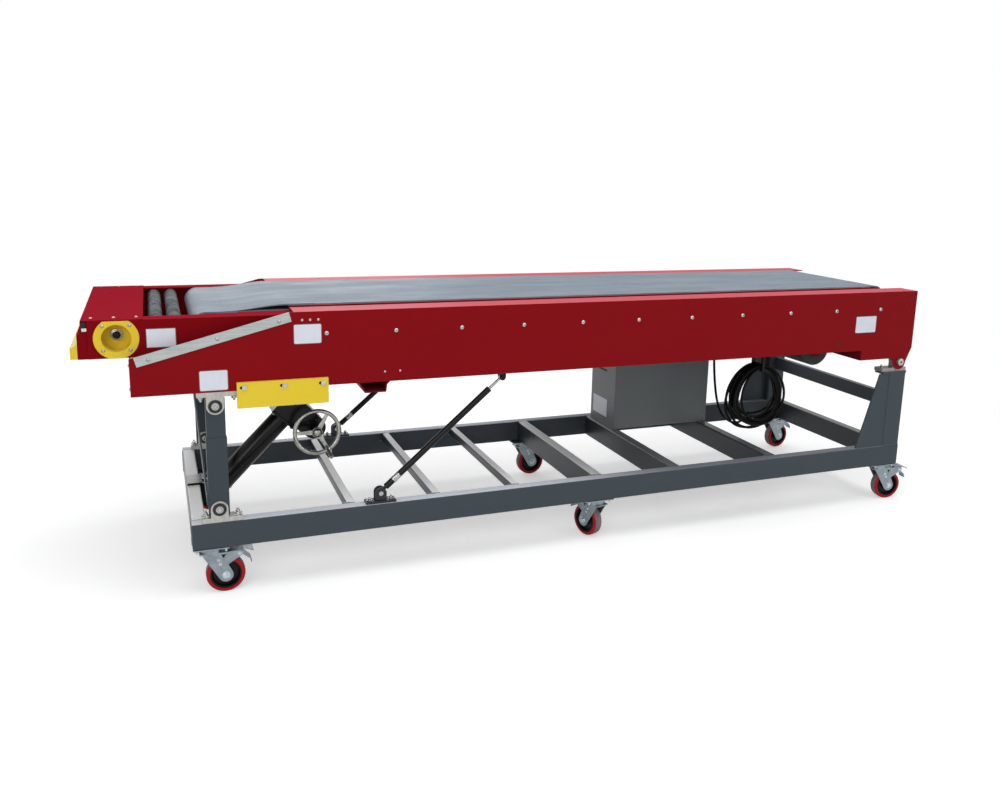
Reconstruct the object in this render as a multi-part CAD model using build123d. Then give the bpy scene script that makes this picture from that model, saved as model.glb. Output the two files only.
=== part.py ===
# Portable extendable belt conveyor: a wheeled base frame, a belt body that tilts about two rear pins,
# and a nose section that runs out of the body on slides.
# Millimetres. +X runs towards the rear (tail) end, +Y to the far side, +Z up. The origin is on the floor
# below the middle of the closed machine.
from build123d import *
from math import atan2, cos, degrees, hypot, radians, sin, tan
import os

os.makedirs("parts", exist_ok=True)

# Base frame
base_x = -1339.5            # front end of the base frame
base_length = 2916.0
base_width = 865.0
rail_height = 90.0
rail_width = 45.0
tube_wall = 3.0
tube_corner = 6.0
light_tube_width = 30.0
light_tube_height = 35.0
running_gap = 0.05          # radial clearance of a pin or shaft in its bore
seat_gap = 0.3              # clearance between faces that pass each other
slide_gap = 0.5             # clearance between telescoping tubes
linkage_gap = 2.5           # radial clearance at the open end of the coupled legs and struts
jack_gap = 4.0              # the same at the foot of the jack, whose linkage drifts more

# Castors
castor_height = 165.0
castor_wheel_radius = 62.5
castor_tread = 12.5
castor_wheel_width = 38.0
castor_hub_width = 44.0
castor_trail = 42.0
castor_plate = (115.0, 85.0, 4.0)
castor_axle_radius = 6.0
castor_kingpin_radius = 7.0
castor_cheek = 4.0
castor_leg_end = 23.0       # radius of a fork leg's lower end
pedal_reach = 132.0

# Height-adjusting legs
leg_x = base_x + 87.0
leg_foot_z = 298.0
leg_head_drop = 46.0        # below the body's bottom
leg_size = (64.0, 34.0)
leg_wall = 2.0
leg_show = 106.0            # from the outer tubes' top to the head pin
leg_pin_radius = 10.0
leg_ear_radius = 27.0
leg_ear = 5.0
clevis_plate = (125.0, 15.0)
brace_size = (40.0, 5.0)

# Screw jack
jack_foot = (base_x + 96.0, 216.0)
jack_head_x = base_x + 467.0
jack_head_drop = 87.0       # below the body's bottom
jack_tube_radius = 38.0
jack_rod_radius = 20.0
jack_pin_radius = 10.0
jack_eye_radius = 24.0
jack_eye_width = 40.0
jack_tube_start = 34.0
jack_flange_back = 184.0    # from the flange to the head pin
jack_flange = (104.0, 8.0)
gearbox_length = 92.0
gearbox_width = 84.0
gearbox_back = 52.0
wheel_shaft_back = 131.0    # from the handwheel's shaft to the head pin, along the jack
wheel_shaft_side = 108.0    # and across it
wheel_shaft_radius = 9.0
wheel_boss_radius = 42.0
handwheel_radius = 80.0
handwheel_rim = 7.5
handwheel_y = -100.0
handwheel_spokes = 3

# Gas struts
strut_foot = (base_x + 615.0, 289.0)
strut_head_x = base_x + 1056.0
strut_head_drop = 15.0      # below the body's bottom
strut_cylinder_radius = 11.0
strut_rod_radius = 5.0
strut_rod_show = 62.0
strut_pin_radius = 6.0
strut_foot_radius = 20.0
strut_eye_radius = 12.0
strut_eye_width = 12.0
strut_ear = 7.0

# Rear portal with the tilt pins
post_gap = 110.0            # from a post's top to the body's bottom
gusset_foot = base_x + 2684.0
gusset_head = base_x + 2779.0
gusset_thickness = 8.0
portal_bar = (60.0, 30.0)
portal_bar_z = 450.0
tilt_pin_x = base_x + 2870.0
tilt_pin_rise = 51.5        # above a post's top
tilt_pin_radius = 12.0
tilt_ear_radius = 34.0
pivot_length = 132.0
cap_plate = 10.0
clamp_plate = 15.0

# Belt body
body_width = base_width
body_front = base_x - 154.0
body_bottom = 687.0
body_height = 246.0
body_nose_lap = 2.0         # the panels' blunt nose above the extension's bottom
body_slant_x = base_x + 323.0
flange_start = base_x + 336.0
body_step_x = base_x + 2658.0
body_step_drop = 42.0       # below the body's bottom
body_rear = base_x + 2931.0
body_chamfer_rise = 2.0     # above the body's bottom
panel_thickness = 4.0
top_flange = 100.0
bottom_flange = 45.0
deck_sheet = 3.0
end_plate = 3.0
belt_edge_room = 32.5       # from a top flange to the belt
belt_thickness = 5.0
belt_rise = 7.0             # above the body's top flanges
pulley_radius = 40.0
tail_pulley_x = base_x + 2819.0
ramp_foot_x = base_x + 137.0
drum_x = base_x + 2462.0
drum_rise = 8.0             # its middle above the body's bottom
drum_radius = 70.0
drum_length = 748.0
drum_hanger = 4.0           # sheet that carries the drum at each end
drum_hanger_gap = 8.0       # from the drum's end to its hanger
drum_hanger_radius = 32.0
shaft_radius = 15.0
strip_size = (31.0, 3.0)
guard_span = (base_x + 153.0, base_x + 439.0)
guard_drop = 55.0           # below the body's bottom
guard_rise = 28.0           # above it
guard_standoff = 12.0
guard_sheet = 2.0
screw_head = (8.0, 5.0)
runner_size = (28.0, 15.0)  # height, and height above the extension's bottom
runner_start = base_x + 30.0
runner_end_gap = 200.0      # from the runners to the body's rear
hat_drop = 37.0             # depth of the hat channel below the body
hat_sheet = 4.0

# Extension
ext_side_room = 36.5        # from a side panel to the extension, filled by the runners
ext_front = base_x - 264.0
ext_length = 2450.0
ext_height = 116.0
ext_sink = 14.0             # its top below the body's top
ext_sheet = 3.0
ext_flange = 64.0
ext_flange_step = base_x + 178.0
ext_belt_gap = 2.0          # from the wide flange to the belt
nose_box_front = base_x - 293.0
nose_box_drop = 39.0        # its top below the extension's top
bumper_x = base_x - 313.0
bumper_size = (18.0, 33.0)
cover_span = (base_x - 281.0, base_x - 108.0)
cover_sheet = 2.0
roller_radius = 22.5
roller_end_gap = 49.0       # from a side sheet to a roller's barrel
roller_shaft = 6.0
roller_seat = 2.0           # depth of a roller shaft's blind bore
roller_places = (("nose_roller_front", base_x - 73.0), ("nose_roller_rear", base_x - 16.0))
nose_pulley_x = base_x + 78.0
ext_belt_rise = 2.0         # above the extension's flanges
cup_x = base_x - 184.5
cup_drop = 55.0             # below the extension's top
cup_flange_radius = 64.0
cup_bore = 42.0
cup_wall = 3.0
cup_depth = 52.0
cup_rim = 4.0
button_radius = 14.0
button_height = 22.0

# Control box and cable
box_x = (base_x + 1809.0, base_x + 2293.0)
box_depth = 240.0
box_gap = 2.5               # from the box to the far rail
box_height = 335.0
box_wall = 2.0
cable_diameter = 11.0
coil_at = (base_x + 2379.0, -110.0, 445.0)
hook_gland = (base_x + 2320.0, 150.0)
gland_radius = 13.0
coil_radius = 139.0
coil_straight = 12.0
coil_bundle = 27.0
hook_rod = 6.0

# Worked-out places
base_rear = base_x + base_length
rail_bottom = castor_height
rail_top = rail_bottom + rail_height
rail_y = base_width / 2 - rail_width / 2
rail_inside = base_width / 2 - rail_width
panel_outer = body_width / 2
panel_inner = panel_outer - panel_thickness
body_top = body_bottom + body_height
deck_z = body_top - panel_thickness
belt_top = body_top + belt_rise
belt_width = body_width - 2 * (top_flange + belt_edge_room)
leg_head_z = body_bottom - leg_head_drop
leg_outer_top = leg_head_z - leg_show
jack_head = (jack_head_x, body_bottom - jack_head_drop)
strut_head = (strut_head_x, body_bottom - strut_head_drop)
strut_y = rail_y
post_top = body_bottom - post_gap
tilt_pin = (tilt_pin_x, post_top + tilt_pin_rise)
body_step_z = body_bottom - body_step_drop
body_chamfer_z = body_bottom + body_chamfer_rise
drum_z = body_bottom + drum_rise
guard_z = (body_bottom - guard_drop, body_bottom + guard_rise)
ext_half_width = panel_inner - ext_side_room
ext_top = body_top - ext_sink
ext_bottom = ext_top - ext_height
ext_belt_top = ext_top + ext_belt_rise
nose_box_top = ext_top - nose_box_drop
body_nose_z = ext_bottom + body_nose_lap
box_y = (rail_inside - box_gap - box_depth, rail_inside - box_gap)
cup_at = (cup_x, ext_top - cup_drop)
roller_z = ext_top - ext_sheet - 2.0 - roller_radius
roller_length = 2 * (ext_half_width - ext_sheet - roller_end_gap)


# Shared shapes
def disc(u, v, radius):
    return Pos(u, v) * Circle(radius)


def block(u0, u1, v0, v1):
    return Pos((u0 + u1) / 2, (v0 + v1) / 2) * Rectangle(abs(u1 - u0), abs(v1 - v0))


def outline(*points):
    return Polygon(*points, align=None)


def slab_xz(sketch, y0, y1):
    return extrude(Plane.XZ.offset(-max(y0, y1)) * sketch, amount=abs(y1 - y0), dir=(0, -1, 0))


def slab_yz(sketch, x0, x1):
    return extrude(Plane.YZ.offset(min(x0, x1)) * sketch, amount=abs(x1 - x0), dir=(1, 0, 0))


def slab_xy(sketch, z0, z1):
    return extrude(Plane.XY.offset(min(z0, z1)) * sketch, amount=abs(z1 - z0), dir=(0, 0, 1))


def joined(pieces):
    whole = pieces[0]
    for piece in pieces[1:]:
        whole = whole + piece
    return whole


def tube_section(width, height, wall, corner):
    outer = RectangleRounded(width, height, corner)
    inner = RectangleRounded(width - 2 * wall, height - 2 * wall, max(corner - wall, 0.5))
    return outer - inner


def both_sides(shape):
    return shape + mirror(shape, about=Plane.XZ)


# Base frame
cross_tubes = (
    # name, distance of its front face from the base's front end, width, height
    ("front end", 0.0, rail_width, rail_height),
    ("first light tube", 503.0, light_tube_width, light_tube_height),
    ("second light tube", 809.0, light_tube_width, light_tube_height),
    ("third light tube", 1113.0, light_tube_width, light_tube_height),
    ("middle", 1441.5, rail_width, rail_height),
    ("under the control box", 1786.0, rail_width, rail_height),
    ("behind the control box", 2248.0, rail_width, rail_height),
    ("rear end", base_length - rail_width, rail_width, rail_height),
)


def base_rails():
    section = tube_section(rail_width, rail_height, tube_wall, tube_corner)
    cap = RectangleRounded(rail_width, rail_height, tube_corner)
    place = Pos(rail_y, rail_bottom + rail_height / 2)
    rail = slab_yz(place * section, base_x, base_rear)
    for x in (base_x, base_rear - tube_wall):
        rail += slab_yz(place * cap, x, x + tube_wall)
    return both_sides(rail)


def base_cross_tubes():
    tubes = []
    for name, start, width, height in cross_tubes:
        section = tube_section(width, height, tube_wall, tube_corner)
        place = Pos(base_x + start + width / 2, rail_top - height / 2)
        tubes.append(slab_xz(place * section, -rail_inside, rail_inside))
    return joined(tubes)


def rear_portal():
    post_x = base_rear - rail_height
    post = slab_xy(Pos(base_rear - rail_height / 2, -rail_y)
                   * tube_section(rail_height, rail_width, tube_wall, tube_corner), rail_top, post_top)
    outer = -base_width / 2 + gusset_thickness / 2
    gusset = slab_xz(outline((gusset_foot, rail_top), (post_x, rail_top), (post_x, post_top),
                             (gusset_head, post_top)), outer, outer + gusset_thickness)
    bar_x = base_rear - rail_height / 2
    bar = slab_xz(Pos(bar_x, portal_bar_z) * tube_section(portal_bar[1], portal_bar[0], tube_wall, 4.0),
                  -rail_inside, rail_inside)
    x0, y0 = base_rear - pivot_length, -panel_inner + 2 * slide_gap
    cap = slab_xy(block(x0 + 6.0, base_rear, -base_width / 2, y0 + rail_width), post_top, post_top + cap_plate)
    return both_sides(post + gusset + cap) + bar


def rear_pivots():
    x0, y0 = base_rear - pivot_length, -panel_inner + 2 * slide_gap
    y1 = y0 + rail_width
    lug_base = post_top + cap_plate + clamp_plate
    plate = slab_xy(block(x0, base_rear, y0, y1), post_top + cap_plate, lug_base)
    lug = slab_xz(disc(*tilt_pin, tilt_ear_radius * 0.8)
                  + block(tilt_pin[0] - tilt_ear_radius * 0.8, tilt_pin[0] + tilt_ear_radius * 0.8,
                          lug_base - seat_gap, tilt_pin[1]), y0, y0 + rail_width * 0.6)
    lug = lug & slab_xy(block(x0, base_rear, y0, y1), lug_base, tilt_pin[1] + tilt_ear_radius)
    pin = slab_xz(disc(*tilt_pin, tilt_pin_radius), -panel_outer - 1.0, y1)
    head = slab_xz(Pos(*tilt_pin) * RegularPolygon(17.0, 6), -panel_outer - 11.0, -panel_outer - 1.0)
    return both_sides(plate + lug + pin + head)


def leg_foot_clevises():
    ear_y = leg_size[1] / 2 + slide_gap
    plate = slab_xy(block(leg_x - clevis_plate[0] / 2 + 8.0, leg_x + clevis_plate[0] / 2 + 8.0,
                          -rail_y - rail_width / 2, -rail_y + rail_width / 2),
                    rail_top, rail_top + clevis_plate[1])
    ear_shape = disc(leg_x, leg_foot_z, leg_ear_radius) + block(
        leg_x - leg_ear_radius, leg_x + leg_ear_radius, rail_top + clevis_plate[1], leg_foot_z)
    pieces = [plate]
    for side in (-1, 1):
        y = -rail_y + side * (ear_y + leg_ear / 2)
        pieces.append(slab_xz(ear_shape, y - leg_ear / 2, y + leg_ear / 2))
    pin_half = ear_y + leg_ear + 6.0
    pieces.append(slab_xz(disc(leg_x, leg_foot_z, leg_pin_radius), -rail_y - pin_half, -rail_y + pin_half))
    return both_sides(joined(pieces))


def strut_feet():
    x, z = strut_foot
    plate = slab_xy(block(x - 52.0, x + 52.0, -strut_y - 20.0, -strut_y + 20.0), rail_top, rail_top + 8.0)
    pieces = [plate]
    ear_shape = disc(x, z, strut_foot_radius) + block(x - strut_foot_radius, x + strut_foot_radius,
                                                      rail_top + 8.0, z)
    inside = strut_eye_width / 2 + slide_gap
    for side in (-1, 1):
        y = -strut_y + side * (inside + strut_ear / 2)
        pieces.append(slab_xz(ear_shape, y - strut_ear / 2, y + strut_ear / 2))
    pin_half = inside + strut_ear + 3.0
    pieces.append(slab_xz(disc(x, z, strut_pin_radius), -strut_y - pin_half, -strut_y + pin_half))
    return both_sides(joined(pieces))


def jack_foot_bracket():
    x, z = jack_foot
    tube_face = base_x + rail_width
    saddle = slab_xy(block(base_x + 2.0, tube_face + 8.0, -48.0, 48.0), rail_top, rail_top + 8.0)
    back = slab_yz(block(-48.0, 48.0, rail_bottom + 12.0, rail_top), tube_face, tube_face + 8.0)
    pieces = [saddle, back]
    cheek = outline((tube_face + 8.0, rail_bottom + 14.0), (x + 8.0, z - jack_eye_radius),
                    (x + jack_eye_radius + 2.0, z), (x + 8.0, z + jack_eye_radius), (tube_face + 8.0, rail_top))
    inside = jack_eye_width / 2 + slide_gap
    for side in (-1, 1):
        pieces.append(slab_xz(cheek, side * inside, side * (inside + 8.0)))
    pieces.append(slab_xz(disc(x, z, jack_pin_radius), -inside - 12.0, inside + 12.0))
    return joined(pieces)


# Castors: name, pivot along the machine, side, direction in which the wheel trails
castors = (
    ("front_near", base_x + 57.5, -1, 0.0),
    ("front_far", base_x + 57.5, 1, -15.0),
    ("mid_near", base_x + 1464.0, -1, 108.0),
    ("mid_far", base_x + 1464.0, 1, 4.0),
    ("rear_near", base_rear - 57.5, -1, -9.0),
    ("rear_far", base_rear - 57.5, 1, 6.0),
)
castor_y = base_width / 2 - castor_plate[1] / 2


def castor_plates():
    length, width, thickness = castor_plate
    pieces = []
    for name, x, side, heading in castors:
        plate = slab_xy(Pos(x, side * castor_y) * RectangleRounded(length, width, 8.0),
                        rail_bottom - thickness, rail_bottom)
        bore = slab_xy(disc(x, side * castor_y, castor_kingpin_radius + running_gap),
                       rail_bottom - thickness, rail_bottom - 0.8)
        pieces.append(plate - bore)
    return joined(pieces)


def castor_fork():
    plate_under = rail_bottom - castor_plate[2]
    crown_top = plate_under - seat_gap
    crown_z = crown_top - 18.0
    inside = castor_hub_width / 2 + seat_gap
    outside = inside + castor_cheek
    race = slab_xy(disc(0, 0, 33.0), crown_z, crown_top)
    thin = castor_cheek
    kingpin = slab_xy(disc(0, 0, castor_kingpin_radius), crown_z, rail_bottom - 1.0)
    crown = slab_xy(block(-38.0, 46.0, -outside, outside), crown_z - castor_cheek, crown_z)
    axle = (castor_trail, castor_wheel_radius)
    leg = make_hull((disc(*axle, castor_leg_end) + block(-28.0, 30.0, crown_z - 8.0, crown_z)).edges())
    arm = outline((30.0, crown_z), (100.0, crown_z), (102.0, crown_z - 9.0), (96.0, crown_z - 15.0),
                  (40.0, crown_z - 50.0), (20.0, crown_z - 40.0))
    window = outline((28.0, crown_z - 7.0), (44.0, crown_z - 7.0), (36.0, crown_z - 20.0))
    cheek = leg + arm - window
    pieces = [race, kingpin, crown]
    for side in (-1, 1):
        pieces.append(slab_xz(cheek, side * inside, side * outside))
    pieces.append(slab_xz(disc(*axle, castor_axle_radius), -outside - 7.0, outside + 7.0))
    pivot = (88.0, crown_z - 9.0)
    pieces.append(slab_xz(disc(*pivot, 5.0), -outside - 3.0, outside + 3.0))
    pedal = outline((pivot[0] - 6.0, pivot[1] + 4.0), (100.0, crown_z + 5.0), (pedal_reach - 18.0, crown_z + 3.0),
                    (pedal_reach, crown_z - 5.0), (pedal_reach, crown_z - 5.0 - thin),
                    (pedal_reach - 19.0, crown_z + 3.0 - thin), (101.0, crown_z + 5.0 - thin),
                    (pivot[0] + 2.0, pivot[1] - 4.0))
    toes = outline((pivot[0], pivot[1] - 3.0), (pivot[0] + 6.0, pivot[1] + 2.0), (pedal_reach - 9.0, crown_z - 34.0),
                   (pedal_reach - 5.0, crown_z - 50.0), (pedal_reach - 10.0, crown_z - 50.0),
                   (pedal_reach - 13.0, crown_z - 36.0))
    pieces.append(slab_xz(pedal, -inside, inside))
    pieces.append(slab_xz(toes, -inside + 6.0, inside - 6.0))
    return joined(pieces)


def castor_hub():
    rim = castor_wheel_radius - castor_tread
    half_rim = castor_wheel_width / 2 - 2.0
    half_hub = castor_hub_width / 2
    profile = outline((castor_axle_radius + running_gap, -half_hub), (17.0, -half_hub), (19.0, -7.0),
                      (rim - 8.0, -5.0), (rim - 5.0, -half_rim), (rim, -half_rim), (rim, half_rim),
                      (rim - 5.0, half_rim), (rim - 8.0, 5.0), (19.0, 7.0), (17.0, half_hub),
                      (castor_axle_radius + running_gap, half_hub))
    return Rot(90, 0, 0) * revolve(Plane.XZ * profile, axis=Axis.Z)


def castor_tyre():
    rim = castor_wheel_radius - castor_tread
    section = Pos(rim + castor_tread / 2, 0) * Rectangle(castor_tread, castor_wheel_width)
    section = chamfer(section.vertices().group_by(Axis.X)[-1], 5.0)
    return Rot(90, 0, 0) * revolve(Plane.XZ * section, axis=Axis.Z)


def placed_castor(shape, x, side, heading):
    return Pos(x, side * castor_y, 0) * Rot(0, 0, heading) * shape


def wheel_at_axle(shape):
    return Pos(castor_trail, 0, castor_wheel_radius) * shape


# Legs
def leg_outer_tubes():
    wide, deep = leg_size
    bottom = rail_top + clevis_plate[1] + 6.0
    tube = slab_xy(Pos(leg_x, -rail_y) * tube_section(wide, deep, leg_wall, 3.0), bottom, leg_outer_top)
    bush = slab_xz(disc(leg_x, leg_foot_z, leg_pin_radius + 6.0), -rail_y - deep / 2, -rail_y + deep / 2)
    bore = slab_xz(disc(leg_x, leg_foot_z, leg_pin_radius + running_gap), -rail_y - deep, -rail_y + deep)
    return both_sides((tube + bush) - bore)


def leg_inner_tubes():
    wide, deep = leg_size
    inset = 2 * (leg_wall + slide_gap)
    bottom = leg_foot_z + leg_pin_radius + 12.0
    top = leg_head_z + leg_ear_radius - 1.0
    tube = slab_xy(Pos(leg_x, -rail_y) * tube_section(wide - inset, deep - inset, leg_wall, 2.0), bottom, top)
    half = deep / 2 - leg_wall - slide_gap
    bush = slab_xz(disc(leg_x, leg_head_z, leg_pin_radius + linkage_gap + 6.0), -rail_y - half, -rail_y + half)
    bore = slab_xz(disc(leg_x, leg_head_z, leg_pin_radius + linkage_gap), -rail_y - deep, -rail_y + deep)
    return both_sides((tube + bush) - bore)


def leg_brace():
    x1 = leg_x - leg_size[0] / 2
    x0 = x1 - brace_size[1]
    low, high, wide = leg_foot_z + 14.0, leg_outer_top - 14.0, brace_size[0]
    reach = rail_y + leg_size[1] / 2
    return slab_yz(outline((-reach, low), (reach, high - wide), (reach, high), (-reach, low + wide)), x0, x1)


def leg_head_clevises():
    ear_y = leg_size[1] / 2 + slide_gap
    plate_z = body_bottom - clevis_plate[1]
    plate = slab_xy(block(leg_x - clevis_plate[0] / 2 + 8.0, leg_x + clevis_plate[0] / 2 + 8.0,
                          -rail_y - rail_width / 2, -rail_y + rail_width / 2), plate_z, body_bottom)
    ear_shape = disc(leg_x, leg_head_z, leg_ear_radius) + block(
        leg_x - leg_ear_radius, leg_x + leg_ear_radius, leg_head_z, plate_z)
    pieces = [plate]
    for side in (-1, 1):
        y = -rail_y + side * (ear_y + leg_ear / 2)
        pieces.append(slab_xz(ear_shape, y - leg_ear / 2, y + leg_ear / 2))
    pin_half = ear_y + leg_ear + 6.0
    pieces.append(slab_xz(disc(leg_x, leg_head_z, leg_pin_radius), -rail_y - pin_half, -rail_y + pin_half))
    return both_sides(joined(pieces))


# Screw jack, drawn along its own axis: u runs from the foot pin to the head pin, v to the lower right
jack_run = (jack_head[0] - jack_foot[0], jack_head[1] - jack_foot[1])
jack_length = hypot(*jack_run)
jack_angle = degrees(atan2(jack_run[1], jack_run[0]))
jack_flange_at = jack_length - jack_flange_back


def on_jack(shape):
    return Pos(jack_foot[0], 0, jack_foot[1]) * Rot(0, -jack_angle, 0) * shape


def jack_rod():
    eye = slab_xz(disc(0, 0, jack_eye_radius), -jack_eye_width / 2, jack_eye_width / 2)
    rod = slab_yz(disc(0, 0, jack_rod_radius), 0, jack_flange_at - 20.0)
    bore = slab_xz(disc(0, 0, jack_pin_radius + jack_gap), -jack_eye_width, jack_eye_width)
    return on_jack((eye + rod) - bore)


def jack_tube():
    tube = slab_yz(disc(0, 0, jack_tube_radius), jack_tube_start, jack_flange_at)
    hollow = slab_yz(disc(0, 0, jack_tube_radius - 4.0), jack_tube_start + 10.0, jack_flange_at - 10.0)
    throat = slab_yz(disc(0, 0, jack_rod_radius + slide_gap), jack_tube_start, jack_tube_start + 10.0)
    flange = slab_yz(RectangleRounded(jack_flange[0], jack_flange[0], 10.0),
                     jack_flange_at, jack_flange_at + jack_flange[1])
    return on_jack(tube - hollow - throat + flange)


def jack_gearbox():
    u0 = jack_flange_at + jack_flange[1]
    u1 = u0 + gearbox_length
    half = gearbox_width / 2
    shaft_u, shaft_v = jack_length - wheel_shaft_back, wheel_shaft_side
    housing = make_hull((block(u0, u1, -gearbox_back, gearbox_back)
                         + disc(shaft_u, -shaft_v, wheel_boss_radius)).edges())
    body = slab_xz(housing, -half, half)
    lug = slab_xz(block(u1, jack_length, -jack_eye_radius, jack_eye_radius)
                  + disc(jack_length, 0, jack_eye_radius), -jack_eye_width / 2, jack_eye_width / 2)
    bore = slab_xz(disc(jack_length, 0, jack_pin_radius + running_gap), -jack_eye_width, jack_eye_width)
    boss = slab_xz(disc(shaft_u, -shaft_v, 24.0), -half - 14.0, -half)
    shaft = slab_xz(disc(shaft_u, -shaft_v, wheel_shaft_radius), handwheel_y - 4.0, -half)
    return on_jack(body + lug - bore + boss + shaft)


def wheel_shaft_place():
    turn = radians(jack_angle)
    u, v = jack_length - wheel_shaft_back, wheel_shaft_side
    return (jack_foot[0] + u * cos(turn) + v * sin(turn), jack_foot[1] + u * sin(turn) - v * cos(turn))


def handwheel():
    x, z = wheel_shaft_place()
    rim = Rot(90, 0, 0) * Torus(handwheel_radius, handwheel_rim)
    hub = slab_xz(disc(0, 0, 17.0) - disc(0, 0, wheel_shaft_radius + running_gap), -9.0, 12.0)
    pieces = [rim, hub]
    for i in range(handwheel_spokes):
        angle = 60.0 + 360.0 * i / handwheel_spokes
        spoke = slab_xz(outline((12.0, -9.0), (handwheel_radius, -5.0), (handwheel_radius, 5.0), (12.0, 9.0)),
                        -4.0, 4.0)
        pieces.append(Rot(0, angle, 0) * spoke)
    crank = slab_xz(disc(0, 0, 9.0), -26.0, -handwheel_rim + 2.0)
    pieces.append(Rot(0, 60.0, 0) * Pos(handwheel_radius, 0, 0) * crank)
    return Pos(x, handwheel_y, z) * joined(pieces)


def jack_head_bracket():
    x, z = jack_head
    inside = jack_eye_width / 2 + slide_gap
    cheek = outline((x - 45.0, body_bottom), (x - 26.0, z - 8.0), (x - 10.0, z - 26.0), (x + 10.0, z - 26.0),
                    (x + 26.0, z - 8.0), (x + 45.0, body_bottom))
    pieces = [slab_xy(block(x - 50.0, x + 50.0, -60.0, 60.0), body_bottom - 8.0, body_bottom)]
    for side in (-1, 1):
        pieces.append(slab_xz(cheek, side * inside, side * (inside + 8.0)))
    pieces.append(slab_xz(disc(x, z, jack_pin_radius), -inside - 14.0, inside + 14.0))
    return joined(pieces)


# Gas struts, drawn along their own axis from the foot pin
strut_run = (strut_head[0] - strut_foot[0], strut_head[1] - strut_foot[1])
strut_length = hypot(*strut_run)
strut_angle = degrees(atan2(strut_run[1], strut_run[0]))


def on_strut(shape):
    return Pos(strut_foot[0], -strut_y, strut_foot[1]) * Rot(0, -strut_angle, 0) * shape


def strut_cylinders():
    eye = slab_xz(disc(0, 0, strut_eye_radius), -strut_eye_width / 2, strut_eye_width / 2)
    barrel = slab_yz(disc(0, 0, strut_cylinder_radius), strut_foot_radius + 6.0, strut_length - strut_rod_show)
    bore = slab_yz(disc(0, 0, strut_rod_radius + running_gap), 70.0, strut_length - strut_rod_show)
    neck = slab_yz(disc(0, 0, 6.0), 0.0, strut_foot_radius + 8.0)
    pin = slab_xz(disc(0, 0, strut_pin_radius + running_gap), -strut_eye_width, strut_eye_width)
    return both_sides(on_strut(eye + neck + barrel - pin - bore))


def strut_rods():
    rod = slab_yz(disc(0, 0, strut_rod_radius), 120.0, strut_length - 6.0)
    eye = slab_xz(disc(strut_length, 0, strut_eye_radius), -strut_eye_width / 2, strut_eye_width / 2)
    bore = slab_xz(disc(strut_length, 0, strut_pin_radius + linkage_gap), -strut_eye_width, strut_eye_width)
    return both_sides(on_strut(rod + eye - bore))


def strut_head_brackets():
    x, z = strut_head
    inside = strut_eye_width / 2 + slide_gap
    pieces = []
    ear_shape = disc(x, z, strut_eye_radius) + block(x - strut_eye_radius, x + strut_eye_radius, z, body_bottom)
    for side in (-1, 1):
        pieces.append(slab_xz(ear_shape, -strut_y + side * inside, -strut_y + side * (inside + 4.0)))
    pieces.append(slab_xz(disc(x, z, strut_pin_radius), -strut_y - inside - 7.0, -strut_y + inside + 7.0))
    return both_sides(joined(pieces))


# Belt body
def body_side_panels():
    ear_x, ear_z = tilt_pin
    shape = outline((body_front, body_bottom), (body_front, body_nose_z), (body_slant_x, body_top),
                    (body_rear, body_top), (body_rear, body_chamfer_z), (ear_x + tilt_ear_radius, ear_z),
                    (ear_x - tilt_ear_radius, ear_z), (ear_x - tilt_ear_radius, body_step_z),
                    (body_step_x, body_step_z), (body_step_x, body_bottom))
    shape = shape + disc(ear_x, ear_z, tilt_ear_radius) - disc(ear_x, ear_z, tilt_pin_radius + running_gap)
    panel = slab_xz(shape, -panel_outer, -panel_inner)
    top = slab_xy(block(flange_start, body_rear, -panel_outer, -panel_outer + top_flange), deck_z, body_top)
    bottom = slab_xy(block(body_front, body_step_x - panel_thickness, -panel_inner, -panel_outer + bottom_flange),
                     body_bottom, body_bottom + panel_thickness)
    return both_sides(panel + top + bottom)


cross_channels = (
    # name, distance of its middle from the base's front end, length along the machine, height
    ("jack head", jack_head[0] - base_x, 100.0, 60.0),
    ("strut heads", strut_head[0] - base_x, 60.0, 40.0),
    ("middle", 1560.0, 60.0, 40.0),
    ("rear", 2120.0, 60.0, 40.0),
)


def body_cross_channels():
    floor = body_bottom + panel_thickness
    pieces = []
    for name, start, length, height in cross_channels:
        x = base_x + start
        web = slab_xy(block(x - length / 2, x + length / 2, -panel_inner, panel_inner), floor, floor + 4.0)
        pieces.append(web)
        for side in (-1, 1):
            edge = x + side * (length / 2 - 2.0)
            pieces.append(slab_xy(block(edge - 2.0, edge + 2.0, -panel_inner, panel_inner), floor, floor + height))
    low = body_bottom - hat_drop
    hat = outline((base_x + 541.0, body_bottom), (base_x + 562.0, low), (base_x + 634.0, low),
                  (base_x + 639.0, body_bottom))
    hollow = outline((base_x + 547.0, body_bottom), (base_x + 566.0, low + hat_sheet),
                     (base_x + 630.0, low + hat_sheet), (base_x + 635.0, body_bottom))
    pieces.append(slab_xz(hat - hollow, -panel_inner, panel_inner))
    pieces.append(slab_yz(block(-panel_inner, panel_inner, body_step_z, body_bottom + 90.0),
                          body_step_x - panel_thickness, body_step_x))
    hanger_y = drum_length / 2 + drum_hanger_gap
    hanger = slab_xz(disc(drum_x, drum_z, drum_hanger_radius) + block(drum_x - 40.0, drum_x + 40.0, floor, floor + 49.0)
                     - disc(drum_x, drum_z, shaft_radius + running_gap), -hanger_y - drum_hanger, -hanger_y)
    foot = slab_xy(block(drum_x - 40.0, drum_x + 40.0, -panel_inner, -hanger_y - drum_hanger),
                   floor, floor + drum_hanger)
    pieces.append(both_sides(hanger + foot))
    return joined(pieces)


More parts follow.
